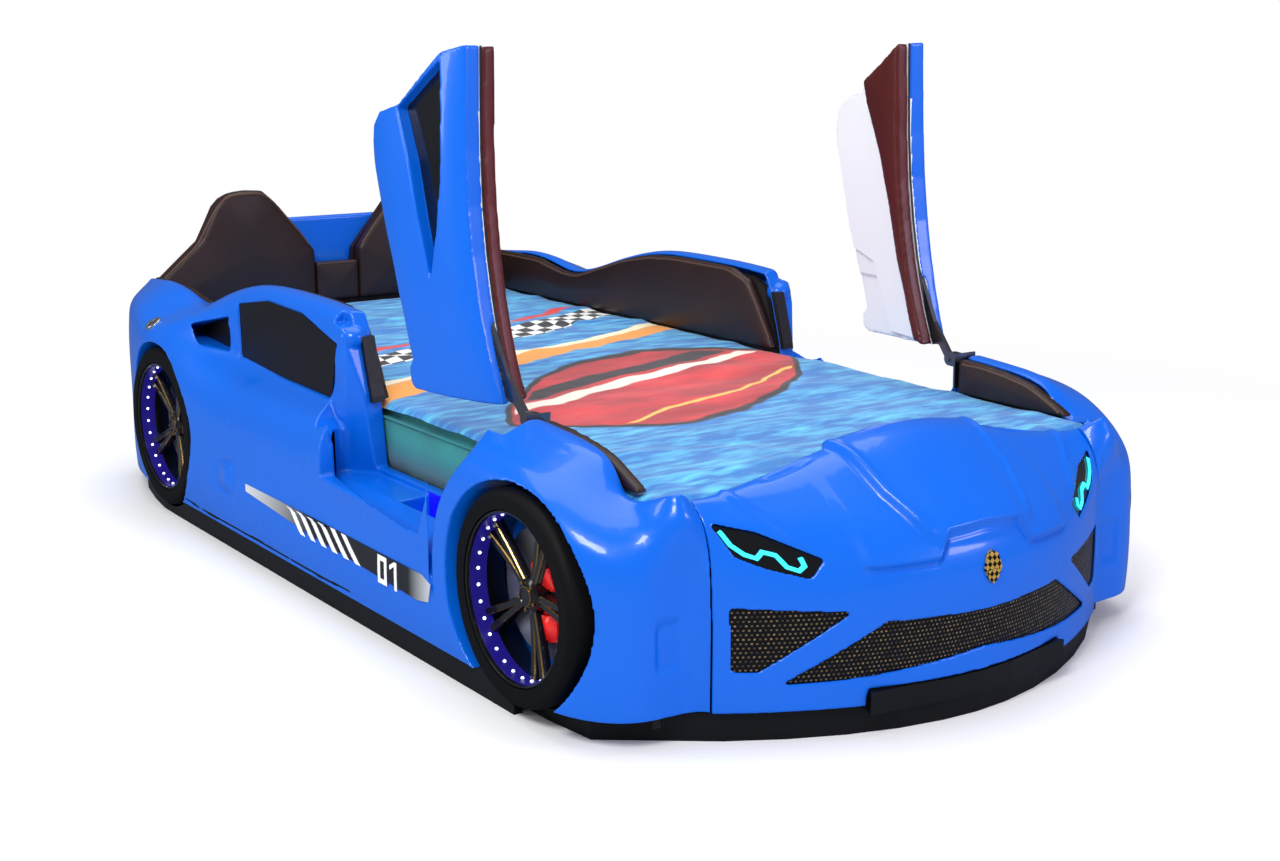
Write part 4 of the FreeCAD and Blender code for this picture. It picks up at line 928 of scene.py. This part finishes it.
def bed_cover():
    """The quilted cover: soft wrinkles on top, rolled over the mattress's edges."""
    across, length = 150, 300
    half, front, rear, top = 0.4462, -0.8792, 1.0192, 0.3455
    vertices, faces = [], []
    for i in range(length + 1):
        for j in range(across + 1):
            x = -half + 2 * half * j / across
            y = front + (rear - front) * i / length
            rim = min(half - abs(x), y - front, rear - y)
            fold = noise.fractal(Vector((x * 3.2, y * 7.5, 0.3)), 0.8, 2.1, 4)
            ridge = 1 - abs(noise.noise(Vector((x * 1.6 + 5, y * 5.5 + 0.8 * x, 1.7))))
            sway = 4 * noise.noise(Vector((x * 5, y * 3, 8)))
            rib = math.sin(x * 95 + sway) * math.exp(-(y - front) / 0.10)
            z = top + 0.0030 * fold + 0.0050 * max(0, ridge - 0.72) / 0.28 + 0.0016 * rib
            drop = 0.0085 * math.exp(-rim / 0.006) + 0.003 * math.exp(-rim / 0.03)
            vertices.append((x, y, max(z - drop, 0.3345)))
    for i in range(length):
        for j in range(across):
            k = i * (across + 1) + j
            faces.append((k, k + 1, k + across + 2, k + across + 1))
    sheet = make("bed_cover", vertices, faces, cover)
    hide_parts("bedspread")


bed_cover()

# ------------------------------------------------------------------ camera, light and floor


def aim():
    """The camera's place and direction, solved from the photograph."""
    yaw, pitch, roll = (math.radians(a) for a in (35.42, 12.87, 0.18))
    ahead = Vector((math.sin(yaw) * math.cos(pitch), math.cos(yaw) * math.cos(pitch), -math.sin(pitch)))
    level = Vector((math.cos(yaw), -math.sin(yaw), 0))
    rise = level.cross(ahead)
    right = level * math.cos(roll) + rise * math.sin(roll)
    up = rise * math.cos(roll) - level * math.sin(roll)
    place = Vector((-1.848, -2.808, 0.992))
    return Matrix(((right.x, up.x, -ahead.x, place.x), (right.y, up.y, -ahead.y, place.y),
                   (right.z, up.z, -ahead.z, place.z), (0, 0, 0, 1)))


camera = bpy.data.cameras.new("camera")
camera.sensor_width, camera.sensor_fit, camera.lens = 36, "HORIZONTAL", 50.22
camera_object = bpy.data.objects.new("camera", camera)
scene.collection.objects.link(camera_object)
camera_object.matrix_world = aim()
scene.camera = camera_object


def area_light(name, place, target, size, power, colour=(1, 1, 1)):
    """A rectangular light that faces a point."""
    light = bpy.data.lights.new(name, "AREA")
    light.shape, light.size, light.size_y = "RECTANGLE", size[0], size[1]
    light.energy, light.color = power, colour
    obj = bpy.data.objects.new(name, light)
    scene.collection.objects.link(obj)
    obj.location = place
    obj.rotation_euler = (Vector(target) - Vector(place)).to_track_quat("-Z", "Y").to_euler()


area_light("key", (-2.6, -2.2, 3.2), (0, 0, 0.2), (1.3, 1.0), 95)
area_light("top", (0.3, 0.4, 3.6), (0, 0, 0.2), (3.2, 3.2), 70)
area_light("front", (1.8, -3.6, 1.7), (0.1, -0.8, 0.2), (1.2, 0.8), 36, (0.80, 0.72, 1.0))
area_light("rim", (-3.4, 1.6, 1.8), (-0.5, 0.2, 0.4), (0.6, 2.2), 28)


def studio_world():
    """White to the camera, dim to reflections, and soft light for the rest."""
    world = bpy.data.worlds.new("studio")
    scene.world = world
    world.use_nodes = True
    tree = world.node_tree
    soft = tree.nodes["Background"]
    mirror = tree.nodes.new("ShaderNodeBackground")
    plain = tree.nodes.new("ShaderNodeBackground")
    for shade, colour, strength in ((soft, (0.93, 0.95, 1.0, 1), 0.62), (mirror, (0.8, 0.86, 1.0, 1), 0.16),
                                    (plain, (1, 1, 1, 1), 1.0)):
        shade.inputs["Color"].default_value = colour
        shade.inputs["Strength"].default_value = strength
    rays = tree.nodes.new("ShaderNodeLightPath")
    light = soft.outputs["Background"]
    for ray, shade in (("Is Glossy Ray", mirror), ("Is Camera Ray", plain)):
        choice = tree.nodes.new("ShaderNodeMixShader")
        tree.links.new(rays.outputs[ray], choice.inputs["Fac"])
        tree.links.new(light, choice.inputs[1])
        tree.links.new(shade.outputs["Background"], choice.inputs[2])
        light = choice.outputs["Shader"]
    tree.links.new(light, tree.nodes["World Output"].inputs["Surface"])


studio_world()

floor_white = material("floor", (0.93, 0.93, 0.93, 1), rough=0.8, spec=0.1)
speckle(floor_white, 3, 0.75, 0.85)


def fading_floor(mat):
    """Pure white away from the bed, and dim in the paint's reflections."""
    rays = add_node(mat, "ShaderNodeLightPath")
    wire(mat, mixed(mat, rays.outputs["Is Glossy Ray"], (0.93, 0.93, 0.93, 1), (0.16, 0.18, 0.22, 1)),
         shader_of(mat).inputs["Base Color"])
    x, y, _ = axes(mat)
    squares = [maths(mat, "POWER", maths(mat, "ABSOLUTE", way), 2) for way in (x, y)]
    square = maths(mat, "ADD", *squares)
    far = add_node(mat, "ShaderNodeMapRange", interpolation_type="SMOOTHSTEP")
    far.inputs["From Min"].default_value = 1.25
    far.inputs["From Max"].default_value = 2.9
    wire(mat, maths(mat, "POWER", square, 0.5), far.inputs["Value"])
    glow = add_node(mat, "ShaderNodeEmission")
    glow.inputs["Color"].default_value = (1, 1, 1, 1)
    share = add_node(mat, "ShaderNodeMixShader")
    seen = maths(mat, "MULTIPLY", far.outputs["Result"], rays.outputs["Is Camera Ray"])
    wire(mat, seen, share.inputs["Fac"])
    wire(mat, shader_of(mat).outputs["BSDF"], share.inputs[1])
    wire(mat, glow.outputs["Emission"], share.inputs[2])
    wire(mat, share.outputs["Shader"], mat.node_tree.nodes["Material Output"].inputs["Surface"])


fading_floor(floor_white)
floor_mesh = bpy.data.meshes.new("floor")
floor_mesh.from_pydata([(-14, -12, 0), (14, -12, 0), (14, 30, 0), (-14, 30, 0)], [], [(0, 1, 2, 3)])
floor_mesh.materials.append(floor_white)
floor = bpy.data.objects.new("floor", floor_mesh)
scene.collection.objects.link(floor)
floor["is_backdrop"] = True
scene.view_settings.view_transform = "Standard"

# ------------------------------------------------------------------ finish

low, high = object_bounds()
